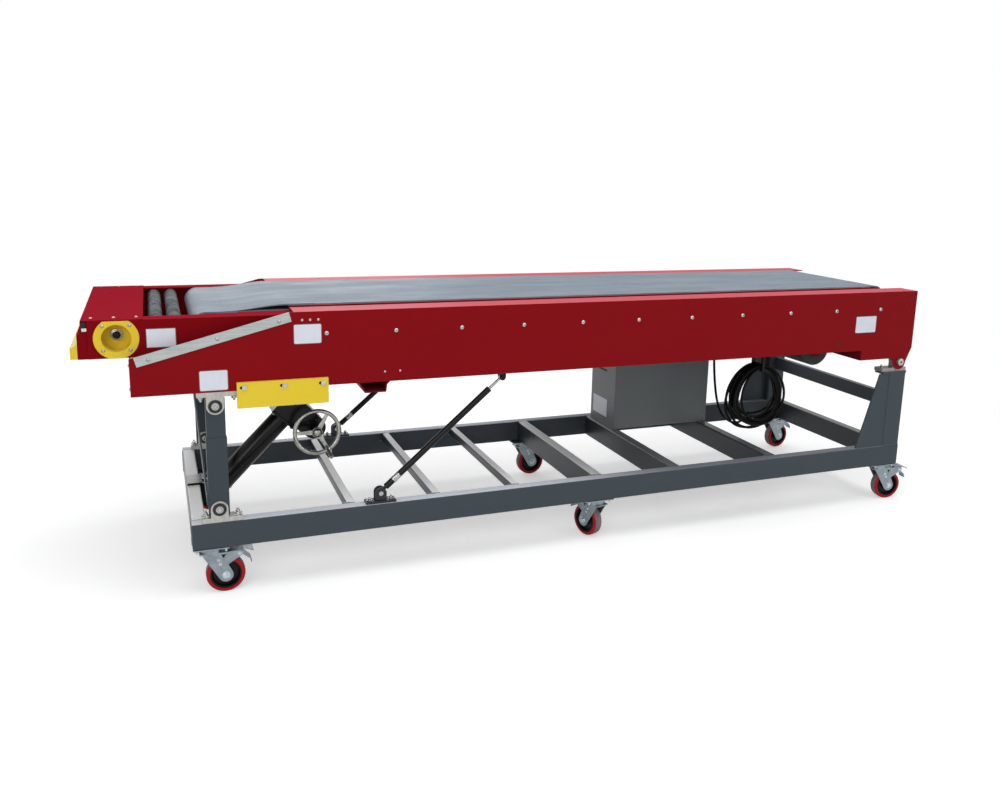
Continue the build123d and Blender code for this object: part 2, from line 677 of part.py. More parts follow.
def body_deck():
    half_bed = (belt_width + belt_edge_room) / 2
    sheet = slab_xy(block(flange_start, body_rear - 40.0, -panel_inner, panel_inner), deck_z - deck_sheet, deck_z)
    bed = slab_xy(block(flange_start, tail_pulley_x, -half_bed, half_bed), deck_z, belt_top - belt_thickness)
    slot = slab_xy(block(tail_pulley_x - 32.0, body_rear, -half_bed, half_bed), deck_z - 20.0, belt_top)
    return sheet + bed - slot


def extension_runners():
    high, rise = runner_size
    bar = slab_xz(block(runner_start, body_rear - runner_end_gap, ext_bottom + rise, ext_bottom + rise + high),
                  -panel_inner, -ext_half_width - seat_gap)
    return both_sides(bar)


def body_end_plates():
    front = slab_yz(block(-panel_inner, panel_inner, body_bottom + panel_thickness, body_nose_z - 9.0),
                    body_front, body_front + end_plate)
    rear = slab_yz(block(-panel_inner, panel_inner, body_chamfer_z, deck_z - 30.0),
                   body_rear - end_plate, body_rear)
    return front + rear


def main_belt():
    half = belt_width / 2
    outer = pulley_radius + belt_thickness
    pulley_z = belt_top - outer
    wrap = disc(tail_pulley_x, pulley_z, outer) - disc(tail_pulley_x, pulley_z, pulley_radius + seat_gap)
    wrap = wrap - block(tail_pulley_x - 200.0, tail_pulley_x, pulley_z - 200.0, pulley_z + 200.0)
    run = block(flange_start - 8.0, tail_pulley_x, belt_top - belt_thickness, belt_top)
    ramp_z = ext_belt_top + 5.0
    ramp = outline((ramp_foot_x, ramp_z), (flange_start - 8.0, belt_top - belt_thickness),
                   (flange_start - 8.0, belt_top), (ramp_foot_x, ramp_z + 1.0))
    return slab_xz(wrap + run + ramp, -half, half)


def tail_pulley():
    z = belt_top - belt_thickness - pulley_radius
    drum = slab_xz(disc(tail_pulley_x, z, pulley_radius), -belt_width / 2 - 6.0, belt_width / 2 + 6.0)
    shaft = slab_xz(disc(tail_pulley_x, z, shaft_radius), -panel_inner, panel_inner)
    return drum + shaft


def drive_drum():
    drum = slab_xz(disc(drum_x, drum_z, drum_radius), -drum_length / 2, drum_length / 2)
    reach = drum_length / 2 + drum_hanger_gap + drum_hanger - seat_gap
    return drum + slab_xz(disc(drum_x, drum_z, shaft_radius), -reach, reach)


slant_angle = atan2(body_top - body_nose_z, body_slant_x - body_front)


def edge_strips():
    wide, thick = strip_size
    along = (cos(slant_angle), sin(slant_angle))
    across = (sin(slant_angle), -cos(slant_angle))
    reach = hypot(body_slant_x - body_front, body_top - body_nose_z)
    corners = []
    for a, b in ((14.0, -1.0), (reach - 3.0, -1.0), (reach - 3.0, wide - 1.0), (14.0, wide - 1.0)):
        corners.append((body_front + a * along[0] + b * across[0], body_nose_z + a * along[1] + b * across[1]))
    return both_sides(slab_xz(outline(*corners), -panel_outer - thick, -panel_outer))


def leg_guards():
    x0, x1 = guard_span
    z0, z1 = guard_z
    face_y = -panel_outer - guard_standoff
    face = slab_xz(block(x0, x1, z0, z1), face_y - guard_sheet, face_y)
    shape = face
    for x in (x0, x1 - guard_sheet):
        shape += slab_xz(block(x, x + guard_sheet, z0, z1), face_y, -panel_outer)
    shape += slab_xy(block(x0, x1, face_y, -panel_outer), z1 - guard_sheet, z1)
    for i in range(3):
        x = x0 + 20.0 + i * (x1 - x0 - 40.0) / 2
        slot = slab_xz(Pos(x, z1 - 16.0) * SlotOverall(22.0, 10.0), face_y - 10.0, face_y)
        shape -= slot
    screws = []
    for i in range(3):
        x = x0 + 23.0 + i * (x1 - x0 - 40.0) / 2
        shank = slab_xz(disc(x, z1 - 16.0, 4.0), face_y - guard_sheet, -panel_outer)
        head = slab_xz(disc(x, z1 - 16.0, screw_head[0]), face_y - guard_sheet - screw_head[1], face_y - guard_sheet)
        screws.append(shank + head)
    return both_sides(shape + joined(screws))


# Extension
ext_rear = ext_front + ext_length


def extension_side_panels():
    x, z = cup_at
    outer = ext_half_width
    inner = outer - ext_sheet
    shape = block(ext_front, ext_rear, ext_bottom, ext_top) - disc(x, z, cup_bore + cup_wall + seat_gap)
    panel = slab_xz(shape, -outer, -inner)
    for name, place in roller_places:
        panel -= slab_xz(disc(place, roller_z, roller_shaft + running_gap), -inner - roller_seat, -inner)
    flange_shape = block(cover_span[1], ext_rear, -outer, -outer + ext_flange) + block(
        ext_flange_step, ext_rear, -outer, -belt_width / 2 - ext_belt_gap)
    top = slab_xy(flange_shape, ext_top - ext_sheet, ext_top)
    bottom = slab_xy(block(cover_span[1], ext_rear, -inner, -outer + 30.0), ext_bottom, ext_bottom + ext_sheet)
    return both_sides(panel + top + bottom)


def extension_deck():
    inner = ext_half_width - ext_sheet
    half_bed = belt_width / 2 + 10.0
    bed_top = ext_belt_top - belt_thickness
    bed_start = nose_pulley_x + 24.0
    sheet = slab_xy(block(bed_start, ext_rear, -inner, inner), bed_top - 2 * ext_sheet, bed_top - ext_sheet)
    bed = slab_xy(block(bed_start, ext_rear, -half_bed, half_bed), bed_top - ext_sheet, bed_top)
    tie = slab_xy(block(ext_rear - 80.0, ext_rear, -inner, inner), ext_bottom + ext_sheet, ext_bottom + 2 * ext_sheet)
    return sheet + bed + tie


def nose_box():
    outer = ext_half_width - ext_sheet
    floor = slab_xy(block(nose_box_front, cover_span[1], -outer, outer), ext_bottom, ext_bottom + ext_sheet)
    front = slab_yz(block(-outer, outer, ext_bottom, nose_box_top), nose_box_front, nose_box_front + ext_sheet)
    shelf = slab_xy(block(nose_box_front, ext_front + 3.0, -outer, outer), nose_box_top - ext_sheet, nose_box_top)
    back = slab_yz(block(-outer, outer, nose_box_top - ext_sheet, ext_top - 2.0), ext_front, ext_front + ext_sheet)
    rear = slab_yz(block(-outer, outer, ext_bottom, ext_top - 2.0), cover_span[1] - ext_sheet, cover_span[1])
    pieces = [floor, front, shelf, back, rear]
    for side in (-1, 1):
        pieces.append(slab_xz(block(nose_box_front, ext_front, ext_bottom, nose_box_top),
                              side * outer, side * (outer - ext_sheet)))
    return joined(pieces)


def nose_cover():
    top = slab_xy(block(cover_span[0], cover_span[1], -ext_half_width, ext_half_width),
                  ext_top, ext_top + cover_sheet)
    lip = slab_yz(block(-ext_half_width, ext_half_width, ext_top - 12.0, ext_top),
                  cover_span[0], cover_span[0] + cover_sheet)
    return top + lip


def front_bumper():
    deep, high = bumper_size
    profile = outline((bumper_x, ext_bottom + 2.0), (nose_box_front, ext_bottom + 2.0),
                      (nose_box_front, ext_bottom + 2.0 + high + 12.0),
                      (bumper_x, ext_bottom + 2.0 + high))
    return slab_xz(profile, -ext_half_width, ext_half_width)


def button_cups():
    x, z = cup_at
    face = -ext_half_width
    flange_shape = disc(x, z, cup_flange_radius) & block(x - 100.0, x + 100.0, ext_bottom, ext_top - 2.0)
    flange = slab_xz(flange_shape, face - cup_rim, face)
    wall = slab_xz(disc(x, z, cup_bore + cup_wall), face, face + cup_depth)
    hollow = slab_xz(disc(x, z, cup_bore), face - cup_rim - 1.0, face + cup_depth - cup_wall)
    seat = slab_xz(disc(x, z + 4.0, button_radius - 2.0), face, face + cup_depth + 1.0)
    return both_sides(flange + wall - hollow - seat)


def push_buttons():
    x, z = cup_at[0], cup_at[1] + 4.0
    floor = -ext_half_width + cup_depth - cup_wall
    ring = slab_xz(disc(x, z, button_radius), floor - button_height * 0.5, floor)
    stem = slab_xz(disc(x, z, button_radius - 2.0), floor, floor + cup_wall + 25.0)
    knob = slab_xz(disc(x, z, button_radius - 4.0), floor - button_height, floor - button_height * 0.5)
    return both_sides(ring + stem + knob)


def nose_roller(x):
    reach = ext_half_width - ext_sheet + roller_seat - 0.5
    barrel = slab_xz(disc(x, roller_z, roller_radius), -roller_length / 2, roller_length / 2)
    shaft = slab_xz(disc(x, roller_z, roller_shaft), -reach, reach)
    return barrel + shaft


def extension_belt():
    half = belt_width / 2
    outer = pulley_radius + belt_thickness
    z = ext_belt_top - outer
    wrap = disc(nose_pulley_x, z, outer) - disc(nose_pulley_x, z, pulley_radius + seat_gap)
    wrap = wrap - block(nose_pulley_x, nose_pulley_x + 200.0, z - 200.0, z + 200.0)
    run = block(nose_pulley_x, ext_rear - 20.0, ext_belt_top - belt_thickness, ext_belt_top)
    back = block(nose_pulley_x, ext_rear - 20.0, z - outer, z - outer + belt_thickness)
    return slab_xz(wrap + run + back, -half, half)


def nose_pulley():
    z = ext_belt_top - belt_thickness - pulley_radius
    drum = slab_xz(disc(nose_pulley_x, z, pulley_radius), -belt_width / 2 - 6.0, belt_width / 2 + 6.0)
    inner = ext_half_width - ext_sheet
    return drum + slab_xz(disc(nose_pulley_x, z, shaft_radius), -inner, inner)


# Control box and cable
def control_box():
    x0, x1 = box_x
    y0, y1 = box_y
    z0, z1 = rail_top, rail_top + box_height
    shell = Pos((x0 + x1) / 2, (y0 + y1) / 2, (z0 + z1) / 2) * Box(x1 - x0, y1 - y0, box_height)
    shell = fillet(shell.edges().filter_by(Axis.Z), 3.0)
    room = Pos((x0 + x1) / 2, (y0 + y1) / 2, (z0 + z1) / 2) * Box(
        x1 - x0 - 2 * box_wall, y1 - y0 - 2 * box_wall, box_height - 2 * box_wall)
    return shell - room


def cable_coil():
    x, y, z = coil_at
    half = coil_straight / 2
    low, high = z - half, z + half
    ring = Rot(90, 0, 0) * Torus(coil_radius, coil_bundle)
    reach = coil_radius + 2 * coil_bundle
    half_space = Box(2 * reach, 2 * reach, 2 * reach)
    lower = (Pos(x, y, low) * ring) & (Pos(x, y, low - reach) * half_space)
    upper = (Pos(x, y, high) * ring) & (Pos(x, y, high + reach) * half_space)
    pieces = [lower, upper]
    for side in (-1, 1):
        pieces.append(slab_xy(disc(x + side * coil_radius, y, coil_bundle), low, high))
    return joined(pieces)


def cable_hook():
    x, y, z = coil_at
    seat = z + coil_straight / 2 + coil_radius - coil_bundle - seat_gap
    bar = Pos(x, y, 0) * slab_yz(block(-coil_bundle - 14.0, coil_bundle + 14.0, seat - 2 * hook_rod, seat), -6.0, 6.0)
    pieces = [bar]
    for side in (-1, 1):
        pieces.append(Pos(x, y + side * (coil_bundle + 8.0), 0)
                      * slab_xy(Rectangle(12.0, 2 * hook_rod), seat - hook_rod, body_bottom + panel_thickness))
    floor = body_bottom + panel_thickness
    pieces.append(slab_xy(block(hook_gland[0] - 20.0, x + 8.0, -panel_inner, panel_inner), floor, floor + 4.0))
    gland = slab_xy(disc(*hook_gland, gland_radius), body_bottom - 8.0, floor)
    pieces.append(gland - slab_xy(disc(*hook_gland, cable_diameter / 2 + seat_gap), body_bottom - 8.0, body_bottom))
    return joined(pieces)


# The lead hangs from a gland under the body, turns at the bottom and joins the coil
lead_points = (
    (*hook_gland, body_bottom), (*hook_gland, 620.0), (base_x + 2323.0, 150.0, 540.0),
    (base_x + 2330.0, 147.0, 460.0), (base_x + 2338.0, 140.0, 385.0), (base_x + 2345.0, 122.0, 325.0),
    (base_x + 2348.0, 88.0, 290.0), (base_x + 2346.0, 40.0, 281.0), (base_x + 2340.0, -10.0, 285.0),
    (base_x + 2334.0, -50.0, 297.0), (base_x + 2331.0, -86.0, 308.0),
)


def cable_lead():
    points = [Vector(*point) for point in lead_points]
    radii = []
    for a, b, c in zip(points, points[1:], points[2:]):
        turn = radians((b - a).get_angle(c - b))
        radii.append(0.45 * min((b - a).length, (c - b).length) / tan(turn / 2))
    print("lead bend radii", [round(radius) for radius in radii])
    path = FilletPolyline(*points, radius=radii)
    print("lead length", round(path.length), "mm")
    section = Plane(origin=path @ 0, z_dir=path % 0) * Circle(cable_diameter / 2)
    return sweep(section, path=path)


nodes = {
    "base_rails": base_rails(),
    "base_cross_tubes": base_cross_tubes(),
    "rear_portal": rear_portal(),
    "rear_pivots": rear_pivots(),
    "leg_foot_clevises": leg_foot_clevises(),
    "strut_feet": strut_feet(),
    "jack_foot_bracket": jack_foot_bracket(),
    "castor_plates": castor_plates(),
    "control_box": control_box(),
    "leg_outer_tubes": leg_outer_tubes() + leg_brace(),
    "leg_inner_tubes": leg_inner_tubes(),
    "jack_rod": jack_rod(),
    "jack_tube": jack_tube(),
    "jack_gearbox": jack_gearbox(),
    "handwheel": handwheel(),
    "strut_cylinders": strut_cylinders(),
    "strut_rods": strut_rods(),
    "body_side_panels": body_side_panels(),
    "body_cross_channels": body_cross_channels(),
    "body_deck": body_deck(),
    "body_end_plates": body_end_plates(),
    "extension_runners": extension_runners(),
    "leg_head_clevises": leg_head_clevises(),
    "head_brackets": strut_head_brackets() + jack_head_bracket() + cable_hook(),
    "edge_strips": edge_strips(),
    "leg_guards": leg_guards(),
    "main_belt": main_belt(),
    "tail_pulley": tail_pulley(),
    "drive_drum": drive_drum(),
    "extension_side_panels": extension_side_panels(),
    "extension_deck": extension_deck(),
    "nose_box": nose_box(),
    "nose_cover": nose_cover(),
    "front_bumper": front_bumper(),
    "button_cups": button_cups(),
    "push_buttons": push_buttons(),
    "nose_pulley": nose_pulley(),
    "extension_belt": extension_belt(),
    "cable_coil": cable_coil(),
    "cable_lead": cable_lead(),
}
for name, place in roller_places:
    nodes[name] = nose_roller(place)
fork, hub, tyre = castor_fork(), castor_hub(), castor_tyre()
for name, x, side, heading in castors:
    nodes["castor_fork_" + name] = placed_castor(fork, x, side, heading)
    nodes["castor_hub_" + name] = placed_castor(wheel_at_axle(hub), x, side, heading)
    nodes["castor_tyre_" + name] = placed_castor(wheel_at_axle(tyre), x, side, heading)

for name, shape in nodes.items():
    export_step(shape, "parts/" + name + ".step")
print(len(nodes), "nodes")
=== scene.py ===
# %% [markdown]
# # A portable extendable belt conveyor, dressed for its picture
#
# The conveyor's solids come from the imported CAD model. This script never moves them. It gives every
# surface a finish, adds the small parts that a CAD file leaves out (screws, nuts, welds, labels, caps),
# draws the tyres, the cable and the main belt anew in a finer form, and sets up the camera and the lights.
# Everything is in metres, in the CAD frame: +X runs towards the rear (tail) end, +Y to the far side, +Z up,
# and the floor is at Z 0.

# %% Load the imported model
import bpy
import bmesh
from math import atan2, cos, degrees, pi, radians, sin
from random import Random
from mathutils import Matrix, Vector


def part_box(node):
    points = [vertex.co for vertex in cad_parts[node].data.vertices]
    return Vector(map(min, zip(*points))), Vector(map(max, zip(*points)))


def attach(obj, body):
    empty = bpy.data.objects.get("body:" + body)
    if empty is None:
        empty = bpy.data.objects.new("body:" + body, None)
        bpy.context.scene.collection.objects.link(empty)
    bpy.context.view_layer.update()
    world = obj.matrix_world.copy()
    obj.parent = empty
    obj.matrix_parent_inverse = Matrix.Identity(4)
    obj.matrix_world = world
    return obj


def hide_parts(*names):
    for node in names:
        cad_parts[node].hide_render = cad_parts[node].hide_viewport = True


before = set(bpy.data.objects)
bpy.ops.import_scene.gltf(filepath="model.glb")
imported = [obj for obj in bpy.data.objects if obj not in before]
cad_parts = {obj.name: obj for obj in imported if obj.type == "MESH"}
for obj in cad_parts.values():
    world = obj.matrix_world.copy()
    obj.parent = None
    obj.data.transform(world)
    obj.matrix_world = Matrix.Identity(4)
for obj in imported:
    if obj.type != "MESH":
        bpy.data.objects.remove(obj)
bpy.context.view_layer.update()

# %% [markdown]
# Many places are easier to say from the front end of the base frame, which is the zero of most of the
# measurements, and in millimetres. Two small functions turn such places into the frame's own metres. A
# third gives the smooth step that the cable's turns and the belt's ramp are eased with.

# %% Shared places
mm = 0.001
rail_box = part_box("base_rails")
base_front, base_rear = rail_box[0][0], rail_box[1][0]
near, far = -1, 1
up = (0, 0, 1)
side_face = rail_box[1][1]          # half the width over the rails and over the body panels


def from_front(distance):
    return base_front + distance


def at(x, y, z):
    """A place given in millimetres: x from the base's front end, y across, z above the floor."""
    return Vector((base_front + x * mm, y * mm, z * mm))


def eased(share):
    """A share from 0 to 1, held flat at both of its ends."""
    return share * share * (3 - 2 * share)


print("base frame from", round(base_front, 4), "to", round(base_rear, 4))

# %% [markdown]
# ## The camera
#
# The photograph was solved once for its camera, from the long straight edges of the frame. The result is
# six plain numbers: a place, three angles, a focal length in pixels and the point of the picture that the
# lens points at. Blender wants the focal length in millimetres on a 36 mm sensor, and it states an
# off-centre lens as a shift, in picture widths.

# %% Camera
picture_width, picture_height = 1000.0, 800.0
focal_px = 918.9
lens_centre_px = (535.95, 354.3)
camera_place = Vector((from_front(-0.0712), -3.3937, 1.4170))
pitch_down, yaw_right, roll = 0.2044, 0.3986, 0.0289

ahead = Vector((sin(yaw_right) * cos(pitch_down), cos(yaw_right) * cos(pitch_down), -sin(pitch_down)))
level_right = Vector((cos(yaw_right), -sin(yaw_right), 0.0))
level_up = level_right.cross(ahead)
camera_right = level_right * cos(roll) + level_up * sin(roll)
camera_up = level_up * cos(roll) - level_right * sin(roll)

lens = bpy.data.cameras.new("photo_camera")
lens.sensor_width = 36.0
lens.lens = lens.sensor_width * focal_px / picture_width
lens.shift_x = (picture_width / 2 - lens_centre_px[0]) / picture_width
lens.shift_y = (lens_centre_px[1] - picture_height / 2) / picture_width
lens.clip_end = 60.0
camera = bpy.data.objects.new("photo_camera", lens)
bpy.context.scene.collection.objects.link(camera)
turn = Matrix((camera_right, camera_up, -ahead)).transposed()
camera.matrix_world = Matrix.Translation(camera_place) @ turn.to_4x4()
bpy.context.scene.camera = camera
print("lens", round(lens.lens, 2), "mm, shift", round(lens.shift_x, 4), round(lens.shift_y, 4))

# %% [markdown]
# ## Floor, light and background
#
# The picture has a white ground. A white background is not made with more light, which would bleach the
# red paint: the world and the floor only look white to the camera and in mirrors (Light Path's ray
# kinds), while the light that falls on the machine stays at a plain level. Large area lamps give the soft
# daylight of a yard: a wide one overhead, one at the front left, one at the right, and one low behind the
# machine, which adds a glint to the upward faces. Most of their pale sheen is painted into the paints.

# %% World
ambient_strength = 0.36


def shown_to_eye(nodes, links):
    """A mask that is 1 for what the camera sees, straight, in a mirror or through glass."""
    path = nodes.new("ShaderNodeLightPath")
    mask = path.outputs["Is Camera Ray"]
    for kind in ("Is Glossy Ray", "Is Transmission Ray"):
        either = nodes.new("ShaderNodeMath")
        either.operation = "MAXIMUM"
        links.new(mask, either.inputs[0])
        links.new(path.outputs[kind], either.inputs[1])
        mask = either.outputs[0]
    return mask


world = bpy.data.worlds.new("pale_studio")
bpy.context.scene.world = world
world.use_nodes = True
sky = world.node_tree
sky.nodes.clear()
dim = sky.nodes.new("ShaderNodeBackground")
dim.inputs["Color"].default_value = (0.94, 0.97, 1.0, 1.0)
dim.inputs["Strength"].default_value = ambient_strength
white = sky.nodes.new("ShaderNodeBackground")
white.inputs["Color"].default_value = (1.0, 1.0, 1.0, 1.0)
white.inputs["Strength"].default_value = 1.0
pick = sky.nodes.new("ShaderNodeMixShader")
out = sky.nodes.new("ShaderNodeOutputWorld")
sky.links.new(shown_to_eye(sky.nodes, sky.links), pick.inputs["Fac"])
sky.links.new(dim.outputs[0], pick.inputs[1])
sky.links.new(white.outputs[0], pick.inputs[2])
sky.links.new(pick.outputs[0], out.inputs["Surface"])
print("world light", ambient_strength)

# %% [markdown]
# The lamps are wide rectangles rather than points, as a yard's light comes from a whole sky: wide lamps
# give soft shadows and long soft glints on the enamel. Each one is turned to face the machine, and none of
# them shows in the picture.

# %% Lamps
lamps = (
    # name, place, point it faces, width, height, watts
    ("overhead", (0.2, -0.6, 4.2), (0.0, 0.0, 0.6), 6.0, 4.0, 125.0),
    ("front_left", (-3.4, -4.6, 2.6), (0.0, 0.0, 0.6), 3.0, 2.4, 78.0),
    ("front_right", (4.0, -4.2, 2.2), (0.4, 0.0, 0.5), 2.6, 2.0, 40.0),
    ("behind_left", (-0.9, 5.2, 2.0), (-0.6, 0.0, 0.5), 4.2, 2.2, 70.0),
)
for name, place, target, width, height, watts in lamps:
    light = bpy.data.lights.new(name, "AREA")
    light.shape = "RECTANGLE"
    light.size, light.size_y = width, height
    light.energy = watts
    lamp = bpy.data.objects.new(name, light)
    bpy.context.scene.collection.objects.link(lamp)
    lamp.location = place
    lamp.rotation_euler = (Vector(target) - Vector(place)).to_track_quat("-Z", "Y").to_euler()
    lamp.visible_camera = False
print(len(lamps), "lamps")

# %% [markdown]
# The floor is a wide plain sheet. Close to the machine it is a matt pale grey that catches the soft
# shadow. Further out the lamps no longer reach it, so its shader changes over to plain white with the
# distance from the machine, and no horizon shows.

# %% Floor
reach = 20.0
floor_mesh = bpy.data.meshes.new("floor")
floor_mesh.from_pydata([(-reach, -reach, 0), (reach, -reach, 0), (reach, reach, 0), (-reach, reach, 0)],
                       [], [(0, 1, 2, 3)])
ground = bpy.data.objects.new("floor", floor_mesh)
bpy.context.scene.collection.objects.link(ground)
floor_paint = bpy.data.materials.new("pale_floor")
floor_paint.use_nodes = True
tree = floor_paint.node_tree
surface = tree.nodes["Principled BSDF"]
surface.inputs["Base Color"].default_value = (0.82, 0.82, 0.82, 1.0)
surface.inputs["Roughness"].default_value = 0.9
surface.inputs["Specular IOR Level"].default_value = 0.1
lift = tree.nodes.new("ShaderNodeEmission")
lift.inputs["Strength"].default_value = 0.42
blank = tree.nodes.new("ShaderNodeEmission")
blank.inputs["Strength"].default_value = 1.0
lit_and_lifted = tree.nodes.new("ShaderNodeAddShader")
tree.links.new(surface.outputs[0], lit_and_lifted.inputs[0])
tree.links.new(lift.outputs[0], lit_and_lifted.inputs[1])
where = tree.nodes.new("ShaderNodeTexCoord")
distance = tree.nodes.new("ShaderNodeVectorMath")
distance.operation = "LENGTH"
tree.links.new(where.outputs["Object"], distance.inputs[0])
fade = tree.nodes.new("ShaderNodeMapRange")
fade.interpolation_type = "SMOOTHSTEP"
fade.inputs["From Min"].default_value = 1.9
fade.inputs["From Max"].default_value = 3.6
tree.links.new(distance.outputs["Value"], fade.inputs["Value"])
far_out = tree.nodes.new("ShaderNodeMixShader")
tree.links.new(fade.outputs["Result"], far_out.inputs["Fac"])
tree.links.new(lit_and_lifted.outputs[0], far_out.inputs[1])
tree.links.new(blank.outputs[0], far_out.inputs[2])
to_eye = tree.nodes.new("ShaderNodeMixShader")
tree.links.new(shown_to_eye(tree.nodes, tree.links), to_eye.inputs["Fac"])
tree.links.new(surface.outputs[0], to_eye.inputs[1])
tree.links.new(far_out.outputs[0], to_eye.inputs[2])
tree.links.new(to_eye.outputs[0], tree.nodes["Material Output"].inputs["Surface"])
floor_mesh.materials.append(floor_paint)
print("floor of", reach * 2, "m")

# %% [markdown]
# ## Finishes
#
# Sprayed steel is never one flat colour. Seen close it has a fine orange peel, its tone drifts a little
# over a long panel, faces that look up carry some dust and a painted sheen of sky, and sharp edges wear
# lighter.
# Each of those effects is a node group with named inputs, built once, and every material places the groups
# with its own values. The groups give out only masks, colours and heights; the shader stays in the material.

# %% Node helpers
def srgb(red, green, blue):
    """A colour as it is read off a screen, 0 to 255, turned into the linear values that Blender mixes."""
    linear = []
    for value in (red, green, blue):
        share = value / 255.0
        linear.append(share / 12.92 if share <= 0.04045 else ((share + 0.055) / 1.055) ** 2.4)
    return (*linear, 1.0)


def new_group(name, inputs, outputs):
    """An empty shader group. inputs are (name, kind, default), outputs are (name, kind)."""
    group = bpy.data.node_groups.new(name, "ShaderNodeTree")
    for label, kind, default in inputs:
        socket = group.interface.new_socket(label, in_out="INPUT", socket_type="NodeSocket" + kind)
        socket.default_value = default
    for label, kind in outputs:
        group.interface.new_socket(label, in_out="OUTPUT", socket_type="NodeSocket" + kind)
    return group, group.nodes.new("NodeGroupInput"), group.nodes.new("NodeGroupOutput")


def add(tree, kind, **settings):
    """A node with its settings. A name that starts with a capital is one of its input sockets."""
    node = tree.nodes.new(kind)
    for label, value in settings.items():
        if label[0].isupper():
            node.inputs[label.replace("_", " ")].default_value = value
        else:
            setattr(node, label, value)
    return node


def math_node(tree, operation, first, second):
    node = add(tree, "ShaderNodeMath", operation=operation)
    for place, value in enumerate((first, second)):
        if isinstance(value, (int, float)):
            node.inputs[place].default_value = value
        else:
            tree.links.new(value, node.inputs[place])
    return node.outputs[0]


def spread_range(tree, value, low, high, to_low=0.0, to_high=1.0):
    node = add(tree, "ShaderNodeMapRange", interpolation_type="SMOOTHSTEP")
    for label, number in (("From Min", low), ("From Max", high), ("To Min", to_low), ("To Max", to_high)):
        node.inputs[label].default_value = number
    tree.links.new(value, node.inputs["Value"])
    return node.outputs["Result"]


def mix_colour(tree, share, first, second, blend="MIX"):
    node = add(tree, "ShaderNodeMix", data_type="RGBA", blend_type=blend)
    factor = [socket for socket in node.inputs if socket.name == "Factor" and socket.type == "VALUE"][0]
    colours = [socket for socket in node.inputs if socket.type == "RGBA"]
    for socket, value in ((factor, share), (colours[0], first), (colours[1], second)):
        if isinstance(value, (int, float, tuple)):
            socket.default_value = value
        else:
            tree.links.new(value, socket)
    return [socket for socket in node.outputs if socket.type == "RGBA"][0]


print("helpers ready")

# %% [markdown]
# ### Sprayed paint
#
# On a long panel the paint's tone drifts by a few percent, and a face that looks up carries a pale colour
# that is some dust and mostly a painted sheen: the sky's reflection painted in. The sheen could be painted
# by hand, but a normal that points up is known to the shader anywhere, so the group reads it from Geometry.
# A second input fades the sheen along the machine into painted shade, because the rails catch the sky where
# they are open and lie in the body's shade under it.

# %% Shader group: sprayed paint
def sprayed_paint_group():
    group, given, result = new_group(
        "sprayed_paint",
        (("Colour", "Color", (0.2, 0.02, 0.02, 1.0)), ("Upward Colour", "Color", (0.5, 0.4, 0.4, 1.0)),
         ("Upward Share", "Float", 0.6), ("Fade Start", "Float", -9.0), ("Fade End", "Float", -8.0),
         ("Fade Keep", "Float", 1.0), ("Drift", "Float", 0.08), ("Base Roughness", "Float", 0.4)),
        (("Colour", "Color"), ("Roughness", "Float"), ("Height", "Float")))
    place = add(group, "ShaderNodeTexCoord").outputs["Object"]
    tone = add(group, "ShaderNodeTexNoise", Scale=2.6, Detail=4.0, Roughness=0.55)
    specks = add(group, "ShaderNodeTexNoise", Scale=55.0, Detail=5.0, Roughness=0.65)
    peel = add(group, "ShaderNodeTexNoise", Scale=420.0, Detail=2.0)
    for noise in (tone, specks, peel):
        group.links.new(place, noise.inputs["Vector"])
    # The pale upward colour is some dust and mostly a painted sheen, the sky's reflection on faces that look
    # up.
    upward = add(group, "ShaderNodeSeparateXYZ")
    group.links.new(add(group, "ShaderNodeNewGeometry").outputs["Normal"], upward.inputs[0])
    dust_and_sheen = spread_range(group, upward.outputs["Z"], 0.55, 0.95)
    # The fade along X turns the painted sheen into painted shade where the body shades the rails.
    along = add(group, "ShaderNodeSeparateXYZ")
    group.links.new(place, along.inputs[0])
    fade = add(group, "ShaderNodeMapRange", interpolation_type="SMOOTHSTEP")
    for source, target in ((along.outputs["X"], "Value"), (given.outputs["Fade Start"], "From Min"),
                           (given.outputs["Fade End"], "From Max"), (given.outputs["Fade Keep"], "To Max")):
        group.links.new(source, fade.inputs[target])
    fade.inputs["To Min"].default_value = 1.0
    dust_and_sheen = math_node(group, "MULTIPLY", dust_and_sheen, fade.outputs["Result"])
    dust_and_sheen = math_node(group, "MULTIPLY", dust_and_sheen, given.outputs["Upward Share"])
    cloudy = spread_range(group, specks.outputs["Fac"], 0.3, 0.7, 0.92, 1.0)
    dust_and_sheen = math_node(group, "MULTIPLY", dust_and_sheen, cloudy)
    swing = math_node(group, "MULTIPLY", math_node(group, "SUBTRACT", tone.outputs["Fac"], 0.5),
                      given.outputs["Drift"])
    brightness = math_node(group, "ADD", math_node(group, "MULTIPLY", swing, 4.0), 1.0)
    toned = add(group, "ShaderNodeVectorMath", operation="SCALE")
    group.links.new(given.outputs["Colour"], toned.inputs[0])
    group.links.new(brightness, toned.inputs["Scale"])
    colour = mix_colour(group, dust_and_sheen, toned.outputs[0], given.outputs["Upward Colour"])
    group.links.new(colour, result.inputs["Colour"])
    rough = math_node(group, "MULTIPLY", specks.outputs["Fac"], 0.06)
    rough = math_node(group, "ADD", rough, math_node(group, "MULTIPLY", dust_and_sheen, 0.15))
    rough = math_node(group, "ADD", rough, given.outputs["Base Roughness"])
    group.links.new(rough, result.inputs["Roughness"])
    low = math_node(group, "MULTIPLY", specks.outputs["Fac"], 0.1)
    group.links.new(math_node(group, "ADD", low, peel.outputs["Fac"]), result.inputs["Height"])
    return group


sprayed_paint = sprayed_paint_group()
print(sprayed_paint.name, "has", len(sprayed_paint.nodes), "nodes")

# %% [markdown]
# ### Worn edges
#
# Paint wears first on the corners, and even a fresh corner catches the light. Cycles' Bevel node gives the
# normal that a rounded corner would have. Where it differs from the true one there is an edge, and the
# difference makes a mask. A noise breaks the mask up, so that the wear comes and goes along the edge.

